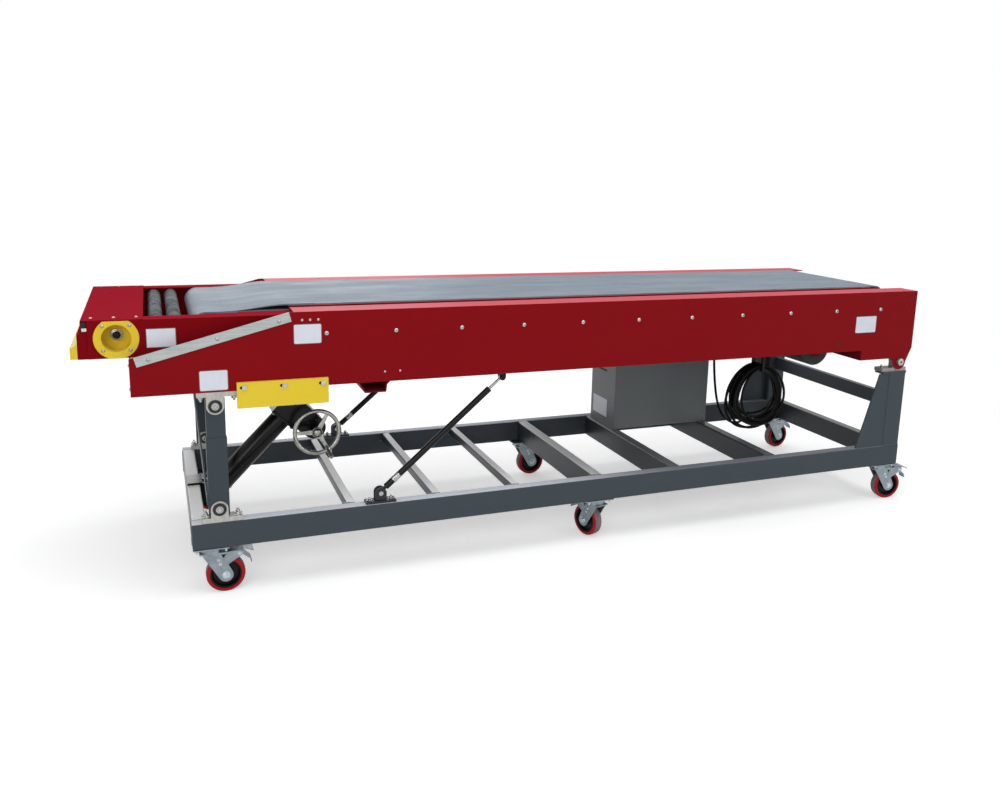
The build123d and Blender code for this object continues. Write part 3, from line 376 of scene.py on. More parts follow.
# %% Shader group: edge wear
def edge_wear_group():
    group, given, result = new_group(
        "edge_wear", (("Width", "Float", 0.0015), ("Patchiness", "Float", 0.5)), (("Mask", "Float"),))
    rounded = add(group, "ShaderNodeBevel", samples=4)
    group.links.new(given.outputs["Width"], rounded.inputs["Radius"])
    geometry = add(group, "ShaderNodeNewGeometry")
    likeness = add(group, "ShaderNodeVectorMath", operation="DOT_PRODUCT")
    group.links.new(rounded.outputs[0], likeness.inputs[0])
    group.links.new(geometry.outputs["True Normal"], likeness.inputs[1])
    edge = spread_range(group, likeness.outputs["Value"], 0.99, 0.82)
    patches = add(group, "ShaderNodeTexNoise", Scale=24.0, Detail=4.0, Roughness=0.7)
    group.links.new(add(group, "ShaderNodeTexCoord").outputs["Object"], patches.inputs["Vector"])
    broken = spread_range(group, patches.outputs["Fac"], 0.42, 0.62)
    solid = math_node(group, "SUBTRACT", 1.0, given.outputs["Patchiness"])
    kept = math_node(group, "ADD", math_node(group, "MULTIPLY", broken, given.outputs["Patchiness"]), solid)
    group.links.new(math_node(group, "MULTIPLY", edge, kept), result.inputs["Mask"])
    return group


edge_wear = edge_wear_group()
print(edge_wear.name, "has", len(edge_wear.nodes), "nodes")

# %% [markdown]
# ### Plated and drawn metal
#
# Zinc plate, galvanised strip and drawn tube all show fine streaks in one direction and cloudy patches. Two
# noises do it: one stretched along the drawing direction by a Mapping node, and one broad.

# %% Shader group: plated metal
def plated_metal_group():
    group, given, result = new_group(
        "plated_metal",
        (("Colour", "Color", (0.5, 0.5, 0.5, 1.0)), ("Dark Colour", "Color", (0.2, 0.2, 0.2, 1.0)),
         ("Stretch", "Vector", (6.0, 60.0, 60.0)), ("Streaks", "Float", 0.4), ("Spangle", "Float", 0.2),
         ("Base Roughness", "Float", 0.35)),
        (("Colour", "Color"), ("Roughness", "Float"), ("Height", "Float")))
    place = add(group, "ShaderNodeTexCoord").outputs["Object"]
    stretched = add(group, "ShaderNodeMapping")
    group.links.new(place, stretched.inputs["Vector"])
    group.links.new(given.outputs["Stretch"], stretched.inputs["Scale"])
    streaks = add(group, "ShaderNodeTexNoise", Scale=4.0, Detail=6.0, Roughness=0.65)
    group.links.new(stretched.outputs[0], streaks.inputs["Vector"])
    cells = add(group, "ShaderNodeTexVoronoi", Scale=130.0)
    clouds = add(group, "ShaderNodeTexNoise", Scale=14.0, Detail=4.0)
    for texture in (cells, clouds):
        group.links.new(place, texture.inputs["Vector"])
    grey = add(group, "ShaderNodeSeparateColor")
    group.links.new(cells.outputs["Color"], grey.inputs[0])
    dark = math_node(group, "MULTIPLY", spread_range(group, streaks.outputs["Fac"], 0.35, 0.65),
                     given.outputs["Streaks"])
    spangle = math_node(group, "MULTIPLY", grey.outputs[0], given.outputs["Spangle"])
    dark = math_node(group, "ADD", dark, spangle)
    dark = math_node(group, "MULTIPLY", dark, spread_range(group, clouds.outputs["Fac"], 0.3, 0.7, 0.6, 1.0))
    group.links.new(mix_colour(group, dark, given.outputs["Colour"], given.outputs["Dark Colour"]),
                    result.inputs["Colour"])
    rough = math_node(group, "MULTIPLY", clouds.outputs["Fac"], 0.2)
    rough = math_node(group, "ADD", rough, math_node(group, "MULTIPLY", dark, 0.15))
    rough = math_node(group, "ADD", rough, given.outputs["Base Roughness"])
    group.links.new(rough, result.inputs["Roughness"])
    group.links.new(streaks.outputs["Fac"], result.inputs["Height"])
    return group


plated_metal = plated_metal_group()
print(plated_metal.name, "has", len(plated_metal.nodes), "nodes")

# %% [markdown]
# ### Moulded rubber and plastic
#
# Moulded parts have a fine pebbled grain, and they show dust and scuffs rather than scratches.

# %% Shader group: moulded grain
def moulded_grain_group():
    group, given, result = new_group(
        "moulded_grain",
        (("Colour", "Color", (0.02, 0.02, 0.02, 1.0)), ("Dust Colour", "Color", (0.2, 0.19, 0.18, 1.0)),
         ("Dust", "Float", 0.15), ("Grain Scale", "Float", 300.0), ("Base Roughness", "Float", 0.5)),
        (("Colour", "Color"), ("Roughness", "Float"), ("Height", "Float")))
    place = add(group, "ShaderNodeTexCoord").outputs["Object"]
    grain = add(group, "ShaderNodeTexVoronoi", feature="SMOOTH_F1")
    scuffs = add(group, "ShaderNodeTexNoise", Scale=18.0, Detail=6.0, Roughness=0.7)
    for texture in (grain, scuffs):
        group.links.new(place, texture.inputs["Vector"])
    group.links.new(given.outputs["Grain Scale"], grain.inputs["Scale"])
    dusty = math_node(group, "MULTIPLY", spread_range(group, scuffs.outputs["Fac"], 0.4, 0.75),
                      given.outputs["Dust"])
    group.links.new(mix_colour(group, dusty, given.outputs["Colour"], given.outputs["Dust Colour"]),
                    result.inputs["Colour"])
    rough = math_node(group, "ADD", math_node(group, "MULTIPLY", scuffs.outputs["Fac"], 0.22),
                      given.outputs["Base Roughness"])
    group.links.new(rough, result.inputs["Roughness"])
    group.links.new(grain.outputs["Distance"], result.inputs["Height"])
    return group


moulded_grain = moulded_grain_group()
print(moulded_grain.name, "has", len(moulded_grain.nodes), "nodes")

# %% [markdown]
# ### Conveyor belt cloth
#
# The belt is a woven ply with a thin grey cover, so a fine weave shows through it at about a millimetre.
# Parcels polish long streaks along its run, and its edges stay darker than its middle.

# %% Shader group: belt cloth
def belt_cloth_group():
    group, given, result = new_group(
        "belt_cloth",
        (("Colour", "Color", (0.3, 0.33, 0.36, 1.0)), ("Worn Colour", "Color", (0.4, 0.43, 0.46, 1.0)),
         ("Thread Scale", "Float", 900.0), ("Half Width", "Float", 0.33)),
        (("Colour", "Color"), ("Roughness", "Float"), ("Height", "Float")))
    place = add(group, "ShaderNodeTexCoord").outputs["Object"]
    threads = []
    for direction in ("X", "Y"):
        wave = add(group, "ShaderNodeTexWave", bands_direction=direction, Distortion=0.6)
        wave.inputs["Detail Scale"].default_value = 3.0
        group.links.new(place, wave.inputs["Vector"])
        scale = math_node(group, "DIVIDE", given.outputs["Thread Scale"], 2 * pi)
        group.links.new(scale, wave.inputs["Scale"])
        threads.append(wave.outputs["Fac"])
    weave = math_node(group, "MAXIMUM", threads[0], threads[1])
    run = add(group, "ShaderNodeMapping")
    run.inputs["Scale"].default_value = (1.2, 5.0, 3.0)
    group.links.new(place, run.inputs["Vector"])
    polish = add(group, "ShaderNodeTexNoise", Scale=3.0, Detail=6.0, Roughness=0.6)
    group.links.new(run.outputs[0], polish.inputs["Vector"])
    blotches = add(group, "ShaderNodeTexNoise", Scale=5.0, Detail=5.0, Roughness=0.6)
    group.links.new(place, blotches.inputs["Vector"])
    across = add(group, "ShaderNodeSeparateXYZ")
    group.links.new(place, across.inputs[0])
    side = math_node(group, "DIVIDE", math_node(group, "ABSOLUTE", across.outputs["Y"], 0.0),
                     given.outputs["Half Width"])
    middle = spread_range(group, side, 1.0, 0.82, 0.55, 1.0)
    worn = math_node(group, "MULTIPLY", spread_range(group, polish.outputs["Fac"], 0.35, 0.7), middle)
    patchy = spread_range(group, blotches.outputs["Fac"], 0.3, 0.7, 0.6, 1.0)
    worn = math_node(group, "MULTIPLY", worn, patchy)
    colour = mix_colour(group, worn, given.outputs["Colour"], given.outputs["Worn Colour"])
    specks = add(group, "ShaderNodeTexNoise", Scale=190.0, Detail=4.0, Roughness=0.75)
    group.links.new(place, specks.inputs["Vector"])
    shade = math_node(group, "MULTIPLY", spread_range(group, weave, 0.2, 1.0, 0.93, 1.02),
                      spread_range(group, specks.outputs["Fac"], 0.3, 0.7, 0.86, 1.12))
    toned = add(group, "ShaderNodeVectorMath", operation="SCALE")
    group.links.new(colour, toned.inputs[0])
    group.links.new(shade, toned.inputs["Scale"])
    group.links.new(toned.outputs[0], result.inputs["Colour"])
    rough = spread_range(group, polish.outputs["Fac"], 0.3, 0.7, 0.62, 0.48)
    group.links.new(rough, result.inputs["Roughness"])
    group.links.new(weave, result.inputs["Height"])
    return group


belt_cloth = belt_cloth_group()
print(belt_cloth.name, "has", len(belt_cloth.nodes), "nodes")

# %% [markdown]
# ### One maker for each kind of finish
#
# A material is a group placed in it, joined to the shader, with a bump that takes its base normal from a
# Bevel node, so that each sharp CAD edge shows as a small rounded one. What is the same all over a surface,
# such as the specular level or the coat, is set on the shader's own sockets.

# %% Finish makers
def finish(name, group, values, bump, level, metallic=0.0, round_edges=0.0012, wear=None):
    """A material from a finish group. bump is (strength, distance), wear is (colour, width, patchiness)."""
    material = bpy.data.materials.new(name)
    material.use_nodes = True
    tree = material.node_tree
    shader = tree.nodes["Principled BSDF"]
    look = tree.nodes.new("ShaderNodeGroup")
    look.node_tree = group
    for label, value in values.items():
        look.inputs[label].default_value = value
    colour = look.outputs["Colour"]
    if wear:
        worn = tree.nodes.new("ShaderNodeGroup")
        worn.node_tree = edge_wear
        worn.inputs["Width"].default_value, worn.inputs["Patchiness"].default_value = wear[1], wear[2]
        colour = mix_colour(tree, worn.outputs["Mask"], colour, wear[0])
    tree.links.new(colour, shader.inputs["Base Color"])
    tree.links.new(look.outputs["Roughness"], shader.inputs["Roughness"])
    relief = add(tree, "ShaderNodeBump", Strength=bump[0], Distance=bump[1])
    tree.links.new(look.outputs["Height"], relief.inputs["Height"])
    soft = add(tree, "ShaderNodeBevel", samples=4, Radius=round_edges)
    tree.links.new(soft.outputs[0], relief.inputs["Normal"])
    tree.links.new(relief.outputs[0], shader.inputs["Normal"])
    shader.inputs["Specular IOR Level"].default_value = level
    shader.inputs["Metallic"].default_value = metallic
    material.diffuse_color = values["Colour"]
    return material


def paint(name, colour, upward, share=0.6, rough=0.34, drift=0.05, wear=None, fade=None, level=0.15,
          peel=0.12):
    """Enamel. share is how much of the upward colour, a painted sheen with some dust, shows on top, and fade
    is (from x, to x, what stays), the sheen's change into painted shade.
    """
    values = {"Colour": srgb(*colour), "Upward Colour": srgb(*upward), "Upward Share": share,
              "Base Roughness": rough, "Drift": drift}
    if fade:
        values["Fade Start"], values["Fade End"], values["Fade Keep"] = fade
    edge = (srgb(*wear[0]), wear[1], wear[2]) if wear else None
    return finish(name, sprayed_paint, values, (peel, 0.0003), level, wear=edge)


def plated(name, colour, dark, stretch=(6.0, 60.0, 60.0), streaks=0.4, spangle=0.2, rough=0.3,
           metallic=0.9, level=0.5):
    """Plated or drawn metal. The streaks run along the axis with the smallest stretch."""
    values = {"Colour": srgb(*colour), "Dark Colour": srgb(*dark), "Stretch": stretch,
              "Streaks": streaks, "Spangle": spangle, "Base Roughness": rough}
    return finish(name, plated_metal, values, (0.15, 0.0002), level, metallic, round_edges=0.0008)


def moulded(name, colour, dust_colour=(120, 116, 110), dust=0.12, rough=0.42, grain=320.0, relief=0.25,
            level=0.35):
    """Moulded rubber or plastic, or printed film."""
    values = {"Colour": srgb(*colour), "Dust Colour": srgb(*dust_colour), "Dust": dust,
              "Grain Scale": grain, "Base Roughness": rough}
    return finish(name, moulded_grain, values, (relief, 0.0005), level)


print("finish makers ready")

# %% [markdown]
# ### The machine's paints
#
# Colours are the ones read off the machine. The frame is grey enamel, the body and extension are signal
# red, the guards and cups yellow. Each paint's upward colour is a painted sheen of sky with some dust. On
# the rails and cross tubes it fades from the open front into painted shade behind, under the body.

# %% Paints
frame_grey = paint("frame_grey_enamel", (66, 74, 80), (228, 233, 242), share=0.9, rough=0.38, drift=0.05,
                   wear=((120, 126, 130), 0.0016, 0.75), fade=(from_front(1.05), from_front(1.9), 0.22))
# The cross tubes' grey is darker than the rails' as painted shade from the body above them, and their
# near-white upward colour is a painted reflection of the sky.
tube_grey = paint("cross_tube_enamel", (50, 55, 58), (252, 254, 255), share=1.15, rough=0.3, drift=0.03,
                  wear=((110, 114, 118), 0.0012, 0.8), fade=(from_front(1.3), from_front(1.6), 0.12),
                  level=0.25, peel=0.01)
inner_grey = paint("leg_enamel", (62, 70, 76), (120, 127, 134), share=0.3, rough=0.4,
                   wear=((110, 116, 120), 0.0014, 0.8))
panel_red = paint("panel_red_enamel", (134, 12, 20), (205, 78, 92), share=0.82, rough=0.36, drift=0.025,
                  wear=((178, 50, 60), 0.0014, 0.85), level=0.06)
extension_red = paint("extension_red_enamel", (126, 14, 22), (162, 34, 48), share=0.85, rough=0.38,
                      drift=0.03, wear=((170, 44, 54), 0.0013, 0.85), level=0.0)
# A darker copy of the body's red: painted shade for the parts under the body.
shaded_under_red = paint("underside_red_painted_shade", (96, 12, 18), (150, 40, 48), share=0.5, rough=0.45,
                  drift=0.05, level=0.07)
guard_yellow = paint("guard_yellow_enamel", (236, 206, 58), (238, 216, 96), share=0.4, rough=0.36,
                     drift=0.02, wear=((206, 186, 90), 0.0014, 0.8), level=0.08)
box_grey = paint("box_grey_enamel", (116, 121, 121), (164, 168, 170), share=0.4, rough=0.4, drift=0.07,
                 wear=((160, 164, 166), 0.0014, 0.85), level=0.3)
black_paint = paint("black_gloss_enamel", (10, 10, 11), (34, 36, 40), share=0.15, rough=0.22, drift=0.05,
                    wear=((44, 44, 46), 0.0010, 0.9), level=0.2)
cup_yellow = paint("cup_yellow_enamel", (226, 196, 52), (236, 218, 110), share=0.4, rough=0.32, drift=0.02)
print(len(bpy.data.materials), "materials with the paints")

# %% [markdown]
# ### The metals
#
# Most of the fittings are zinc plated, from the dull pivot plates to the blue-white bolts. The struts'
# rods and the handwheel are polished. The two rollers are scratched dark by the parcels, all round, so
# their streaks are strong.

# %% Metals
dark_steel = plated("blackened_steel", (52, 54, 58), (24, 25, 28), rough=0.34, metallic=0.7)
zinc_steel = plated("zinc_plated_steel", (146, 156, 162), (84, 94, 101), stretch=(9, 9, 9),
                    streaks=0.45, spangle=0.06, rough=0.28)
zinc_bolt = plated("blue_zinc_bolt", (206, 216, 224), (78, 88, 98), stretch=(60, 60, 60), streaks=0.7,
                   spangle=0.1, rough=0.16, metallic=1.0)
galvanised = plated("galvanised_strip", (182, 188, 186), (140, 147, 147), stretch=(5, 60, 60),
                    streaks=0.5, spangle=0.12, rough=0.34, metallic=0.7)
clevis_steel = plated("bright_zinc_plate", (186, 185, 178), (140, 139, 132), stretch=(30, 30, 12),
                      spangle=0.25, rough=0.34, metallic=0.7)
pivot_steel = plated("pivot_plate_zinc", (158, 157, 150), (88, 88, 84), stretch=(30, 30, 12),
                     rough=0.34, metallic=0.7)
bright_steel = plated("polished_steel", (172, 173, 172), (98, 99, 98), stretch=(14, 14, 60),
                      streaks=0.3, spangle=0.0, rough=0.12, metallic=1.0)
handwheel_steel = plated("handwheel_stainless", (176, 176, 170), (92, 92, 88), stretch=(10, 10, 10),
                         streaks=0.6, spangle=0.05, rough=0.16, metallic=1.0)
roller_steel = plated("scratched_roller_zinc", (112, 118, 122), (14, 15, 17), stretch=(7, 90, 7),
                      streaks=1.5, spangle=0.04, rough=0.4, metallic=0.0, level=0.02)
print(len(bpy.data.materials), "materials with the metals")

# %% [markdown]
# ### Rubber, plastic, labels and belt
#
# The tyres are red polyurethane with a greyer tread, the hubs black nylon. The labels are a pale film with
# a grey printed border. The belt has a finish group of its own.

# %% Rubber, plastic, labels and belt
tyre_red = moulded("tyre_red_polyurethane", (166, 14, 24), (140, 60, 60), dust=0.08, rough=0.30, level=0.2)
tread_grey = moulded("worn_tread", (122, 106, 106), (160, 150, 146), dust=0.5, rough=0.6, level=0.2)
hub_black = moulded("hub_black_nylon", (10, 10, 11), (50, 48, 46), dust=0.1, rough=0.36, level=0.18)
black_rubber = moulded("black_rubber", (16, 16, 17), (84, 80, 76), dust=0.2, rough=0.55, grain=160.0,
                       relief=0.6)
black_plastic = moulded("black_plastic", (9, 9, 10), (60, 58, 56), dust=0.05, rough=0.3, level=0.15)
cable_black = moulded("cable_jacket", (7, 7, 8), (34, 33, 32), dust=0.06, grain=500.0, relief=0.1,
                      level=0.14)
white_plastic = moulded("white_plastic", (226, 226, 222), (180, 178, 170), dust=0.25, rough=0.4)
label_white = moulded("label_film", (222, 225, 234), (200, 200, 204), dust=0.3, rough=0.34, grain=900.0,
                      relief=0.03)
label_frame = moulded("label_print_grey", (112, 114, 120), (140, 140, 142), dust=0.3, rough=0.4,
                      grain=900.0, relief=0.03)
belt_values = {"Colour": srgb(120, 131, 142), "Worn Colour": srgb(127, 138, 149)}
belt_grey = finish("belt_grey_cloth", belt_cloth, belt_values, (0.3, 0.0005), 0.1, round_edges=0.0008)
print(len(bpy.data.materials), "materials in all")

# %% [markdown]
# ### Screw heads on the guards
#
# The screw heads on the yellow guards are one mesh with them in the CAD model. What tells them from the
# guard is only how far out from the machine's middle they stand, so the shader lays steel on whatever
# stands further out than the guard's own face.

# %% Steel on the guards' screw heads
guard_face, mask_blend = 0.4467, 0.00005
guard_tree = guard_yellow.node_tree
guard_shader = guard_tree.nodes["Principled BSDF"]
out_from_middle = add(guard_tree, "ShaderNodeSeparateXYZ")
guard_tree.links.new(add(guard_tree, "ShaderNodeTexCoord").outputs["Object"], out_from_middle.inputs[0])
stand_out = math_node(guard_tree, "ABSOLUTE", out_from_middle.outputs["Y"], 0.0)
head_mask = spread_range(guard_tree, stand_out, guard_face - mask_blend, guard_face + mask_blend)
yellow_paint = guard_shader.inputs["Base Color"].links[0].from_socket
steel_look = guard_tree.nodes.new("ShaderNodeGroup")
steel_look.node_tree = plated_metal
steel_look.inputs["Colour"].default_value = srgb(200, 202, 204)
steel_look.inputs["Dark Colour"].default_value = srgb(120, 122, 124)
guard_tree.links.new(mix_colour(guard_tree, head_mask, yellow_paint, steel_look.outputs["Colour"]),
                     guard_shader.inputs["Base Color"])
guard_tree.links.new(head_mask, guard_shader.inputs["Metallic"])
print("guards have", len(guard_tree.nodes), "nodes")

# %% [markdown]
# ### Finishes for the CAD nodes
#
# A CAD node keeps its shape and gets a finish in every one of its material slots. The tyres, the cable and
# the main belt get theirs too, although pieces made further down stand for them.

# %% Finishes for the CAD nodes
castor_names = tuple(row + "_" + side for row in ("front", "mid", "rear") for side in ("near", "far"))
node_finishes = {
    frame_grey: ("base_rails", "rear_portal"),
    tube_grey: ("base_cross_tubes",),
    inner_grey: ("leg_inner_tubes", "leg_outer_tubes"),
    panel_red: ("body_side_panels",),
    shaded_under_red: ("body_cross_channels", "body_deck", "extension_runners"),
    extension_red: ("extension_side_panels", "extension_deck", "nose_box", "nose_cover"),
    guard_yellow: ("leg_guards", "body_end_plates"),
    cup_yellow: ("button_cups", "front_bumper"),
    box_grey: ("control_box",),
    black_paint: ("jack_tube", "jack_gearbox", "jack_foot_bracket", "strut_cylinders", "head_brackets"),
    clevis_steel: ("leg_foot_clevises", "leg_head_clevises"),
    pivot_steel: ("rear_pivots",),
    dark_steel: ("strut_feet", "jack_rod", "tail_pulley", "nose_pulley"),
    galvanised: ("edge_strips",),
    bright_steel: ("strut_rods",),
    handwheel_steel: ("handwheel",),
    zinc_steel: ("castor_plates", *("castor_fork_" + name for name in castor_names)),
    roller_steel: ("nose_roller_front", "nose_roller_rear"),
    hub_black: tuple("castor_hub_" + name for name in castor_names),
    tyre_red: tuple("castor_tyre_" + name for name in castor_names),
    black_rubber: ("drive_drum",),
    black_plastic: ("push_buttons",),
    belt_grey: ("main_belt", "extension_belt"),
    cable_black: ("cable_coil", "cable_lead"),
}
dressed = set()
for material, nodes in node_finishes.items():
    for node in nodes:
        for material_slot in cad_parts[node].material_slots:
            material_slot.material = material
        dressed.add(node)
print(len(dressed), "CAD nodes dressed, left plain:", sorted(set(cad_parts) - dressed))

# %% [markdown]
# ## Turned and flat small parts
#
# Most small parts on a machine are either turned, such as bolt heads, washers and wheels, or cut from plate
# with rounded corners, such as labels and covers. Two mesh helpers draw both kinds. The first spins a
# profile of radius and height about an axis, which keeps control of each edge; the second stacks outlines.
# A third turns what they draw into an object that rides on a body of the frame.

# %% Mesh helpers
def lathe(shape, profile, origin, axis, segments=32, closed=False):
    """Adds a turned form: profile is (radius, along) in millimetres, spun about axis through origin."""
    spin = Vector(axis).normalized().to_track_quat("Z", "Y").to_matrix()
    rings = []
    for radius, along in profile:
        if radius < 1e-6:
            rings.append([shape.verts.new(origin + spin @ Vector((0.0, 0.0, along * mm)))])
            continue
        ring = []
        for step in range(segments):
            angle = 2 * pi * step / segments
            place = Vector((radius * cos(angle) * mm, radius * sin(angle) * mm, along * mm))
            ring.append(shape.verts.new(origin + spin @ place))
        rings.append(ring)
    pairs = list(zip(rings, rings[1:]))
    if closed:
        pairs.append((rings[-1], rings[0]))
    bands = []
    for first, second in pairs:
        band = []
        for step in range(segments):
            after = (step + 1) % segments
            if len(first) == 1:
                corners = (first[0], second[after], second[step])
            elif len(second) == 1:
                corners = (first[step], first[after], second[0])
            else:
                corners = (first[step], first[after], second[after], second[step])
            band.append(shape.faces.new(corners))
        bands.append(band)
    return bands


def rounded_outline(width, height, corner, steps=6):
    points = []
    centres = ((1, 1, 0), (-1, 1, 90), (-1, -1, 180), (1, -1, 270))
    for side_u, side_v, start in centres:
        for step in range(steps + 1):
            angle = radians(start + 90 * step / steps)
            points.append((side_u * (width / 2 - corner) + corner * cos(angle),
                           side_v * (height / 2 - corner) + corner * sin(angle)))
    return points


def stacked(shape, levels, centre, right, up):
    """Adds a closed form from outlines at rising heights. levels are (points, height), all alike in count."""
    right, up = Vector(right).normalized(), Vector(up).normalized()
    out = right.cross(up)
    rings = []
    for points, height in levels:
        rings.append([shape.verts.new(centre + (right * u + up * v + out * height) * mm) for u, v in points])
    for first, second in zip(rings, rings[1:]):
        for step in range(len(first)):
            after = (step + 1) % len(first)
            shape.faces.new((first[step], first[after], second[after], second[step]))
    shape.faces.new(rings[0][::-1])
    shape.faces.new(rings[-1])


def plate(shape, centre, right, up, width, height, corner, thickness, edge=0.5, start=0.0):
    """Adds a plate with rounded corners and a small chamfer round its front, standing on right x up."""
    wide = rounded_outline(width, height, corner)
    narrow = rounded_outline(width - 2 * edge, height - 2 * edge, max(corner - edge, 0.2))
    stacked(shape, ((wide, start), (wide, start + thickness - edge), (narrow, start + thickness)),
            centre, right, up)


def object_from(name, shape, smooth=34.0):
    """Turns a bmesh into an object at the origin, smooth but for edges sharper than so many degrees."""
    bmesh.ops.recalc_face_normals(shape, faces=shape.faces)
    for face in shape.faces:
        face.smooth = True
    mesh = bpy.data.meshes.new(name)
    shape.to_mesh(mesh)
    shape.free()
    mesh.set_sharp_from_angle(angle=radians(smooth))
    made = bpy.data.objects.new(name, mesh)
    bpy.context.scene.collection.objects.link(made)
    return made


def piece(name, shape, material, body, smooth=34.0, replaced=()):
    """A finished object that rides on a body. material is one material, or a row of them."""
    bmesh.ops.remove_doubles(shape, verts=shape.verts, dist=1e-6)
    made = object_from(name, shape, smooth)
    for each in (material if isinstance(material, tuple) else (material,)):
        made.data.materials.append(each)
    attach(made, body)
    if replaced:
        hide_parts(*replaced)
    return made


print("mesh helpers ready")

# %% [markdown]
# ## Screws, bolts and rivets
#
# The panels are held by button-head screws at a steady pitch, and the pins and castors by hexagon bolts.
# Copying heads by hand would be slow to change. Instead each row is a cloud of points, with a direction and
# a size stored on every point, and one Geometry Nodes tree stands a head on each point. The tree turns each
# head about its own axis by a seeded random angle, as a fitter leaves them.

# %% Geometry Nodes: fastener tree
def fastener_tree():
    tree = bpy.data.node_groups.new("fastener_row", "GeometryNodeTree")
    for label, kind in (("Points", "Geometry"), ("Head", "Object"), ("Turn Seed", "Int"),
                        ("Finish", "Material")):
        tree.interface.new_socket(label, in_out="INPUT", socket_type="NodeSocket" + kind)
    tree.interface.new_socket("Fasteners", in_out="OUTPUT", socket_type="NodeSocketGeometry")
    given, result = tree.nodes.new("NodeGroupInput"), tree.nodes.new("NodeGroupOutput")
    facing = add(tree, "GeometryNodeInputNamedAttribute", data_type="FLOAT_VECTOR", Name="facing")
    size = add(tree, "GeometryNodeInputNamedAttribute", data_type="FLOAT", Name="size")
    stand = add(tree, "FunctionNodeAlignRotationToVector", axis="Z")
    tree.links.new(facing.outputs["Attribute"], stand.inputs["Vector"])
    head = add(tree, "GeometryNodeObjectInfo", transform_space="ORIGINAL")
    tree.links.new(given.outputs["Head"], head.inputs["Object"])
    copies = tree.nodes.new("GeometryNodeInstanceOnPoints")
    tree.links.new(given.outputs["Points"], copies.inputs["Points"])
    tree.links.new(head.outputs["Geometry"], copies.inputs["Instance"])
    tree.links.new(stand.outputs["Rotation"], copies.inputs["Rotation"])
    tree.links.new(size.outputs["Attribute"], copies.inputs["Scale"])
    chance = add(tree, "FunctionNodeRandomValue", data_type="FLOAT_VECTOR")
    chance.inputs[0].default_value = (0.0, 0.0, 0.0)
    chance.inputs[1].default_value = (0.0, 0.0, 2 * pi)
    tree.links.new(given.outputs["Turn Seed"], chance.inputs["Seed"])
    turned = tree.nodes.new("GeometryNodeRotateInstances")
    tree.links.new(copies.outputs["Instances"], turned.inputs["Instances"])
    tree.links.new(chance.outputs[0], turned.inputs["Rotation"])
    real = tree.nodes.new("GeometryNodeRealizeInstances")
    tree.links.new(turned.outputs["Instances"], real.inputs[0])
    coat = tree.nodes.new("GeometryNodeSetMaterial")
    tree.links.new(real.outputs[0], coat.inputs["Geometry"])
    tree.links.new(given.outputs["Finish"], coat.inputs["Material"])
    tree.links.new(coat.outputs[0], result.inputs[0])
    return tree


def run_tree(tree, carrier, values):
    """Runs a Geometry Nodes tree on an object and keeps its result as the object's own plain mesh."""
    modifier = carrier.modifiers.new(tree.name, "NODES")
    modifier.node_group = tree
    for item in tree.interface.items_tree:
        if item.item_type == "SOCKET" and item.in_out == "INPUT" and item.name in values:
            modifier[item.identifier] = values[item.name]
    evaluated = carrier.evaluated_get(bpy.context.evaluated_depsgraph_get())
    mesh = bpy.data.meshes.new_from_object(evaluated)
    carrier.modifiers.remove(modifier)
    carrier.data = mesh


fastener_row = fastener_tree()
print(fastener_row.name, "has", len(fastener_row.nodes), "nodes")

# %% [markdown]
# The heads themselves are drawn once at a radius of one, so that the size stored on a point is the head's
# radius. The button head has a socket, the hexagon bolt stands on a washer, the plain rivet is domed, the
# cap head is a tall cylinder with a hole, and the nut stands on its washer with its stud's end through it.

# %% Heads
def head_object(name, *profiles):
    """A head from turned profiles, each with its count of sides: 6 gives a hexagon."""
    shape = bmesh.new()
    for profile, segments in profiles:
        in_mm = [(radius * 1000, along * 1000) for radius, along in profile]
        lathe(shape, in_mm, Vector(), (0, 0, 1), segments)
    return object_from(name, shape)


button_head = head_object("button_head", (((0, 0.22), (0.38, 0.24), (0.4, 0.56), (0.52, 0.6), (0.8, 0.42),
                                           (0.96, 0.16), (1.0, 0.0), (0.0, 0.0)), 20))
hex_head = head_object("hex_head",
                       (((0, 0.0), (1.0, 0.0), (1.0, 0.1), (0.96, 0.14), (0.0, 0.14)), 24),
                       (((0, 0.1), (0.66, 0.1), (0.66, 0.5), (0.56, 0.6), (0.0, 0.62)), 6))
rivet_head = head_object("rivet_head", (((0, 0.5), (0.45, 0.44), (0.8, 0.25), (1.0, 0.0), (0, 0)), 16))
cap_head = head_object("cap_head", (((0, 0.35), (0.42, 0.38), (0.45, 0.95), (0.9, 1.0), (1.0, 0.88),
                                     (1.0, 0.0), (0.0, 0.0)), 20))
nut_washer = ((0, 0.0), (1.0, 0.0), (1.0, 0.12), (0.95, 0.16), (0.0, 0.16))
nut_body = ((0, 0.12), (0.68, 0.12), (0.72, 0.2), (0.72, 0.74), (0.62, 0.82), (0.0, 0.82))
stud_end = ((0, 0.78), (0.38, 0.78), (0.38, 0.9), (0.34, 0.96), (0.38, 1.02), (0.38, 1.1), (0.34, 1.16),
            (0.38, 1.22), (0.38, 1.36), (0.3, 1.44), (0.0, 1.44))
nut_stud = head_object("nut_stud", (nut_washer, 24), (nut_body, 6), (stud_end, 16))
heads = (button_head, hex_head, rivet_head, cap_head, nut_stud)


def fasteners(name, head, places, body, material, seed=7):
    """A row of heads as one piece. places are (point, facing, radius in mm)."""
    mesh = bpy.data.meshes.new(name + "_points")
    mesh.from_pydata([place for place, facing, radius in places], [], [])
    for label, kind in (("facing", "FLOAT_VECTOR"), ("size", "FLOAT")):
        mesh.attributes.new(label, kind, "POINT")
    for index, (place, direction, radius) in enumerate(places):
        mesh.attributes["facing"].data[index].vector = Vector(direction).normalized()
        mesh.attributes["size"].data[index].value = radius * mm
    carrier = bpy.data.objects.new(name, mesh)
    bpy.context.scene.collection.objects.link(carrier)
    run_tree(fastener_row, carrier, {"Head": head, "Turn Seed": seed, "Finish": material})
    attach(carrier, body)
    print(name, len(places), "heads,", len(carrier.data.polygons), "faces")


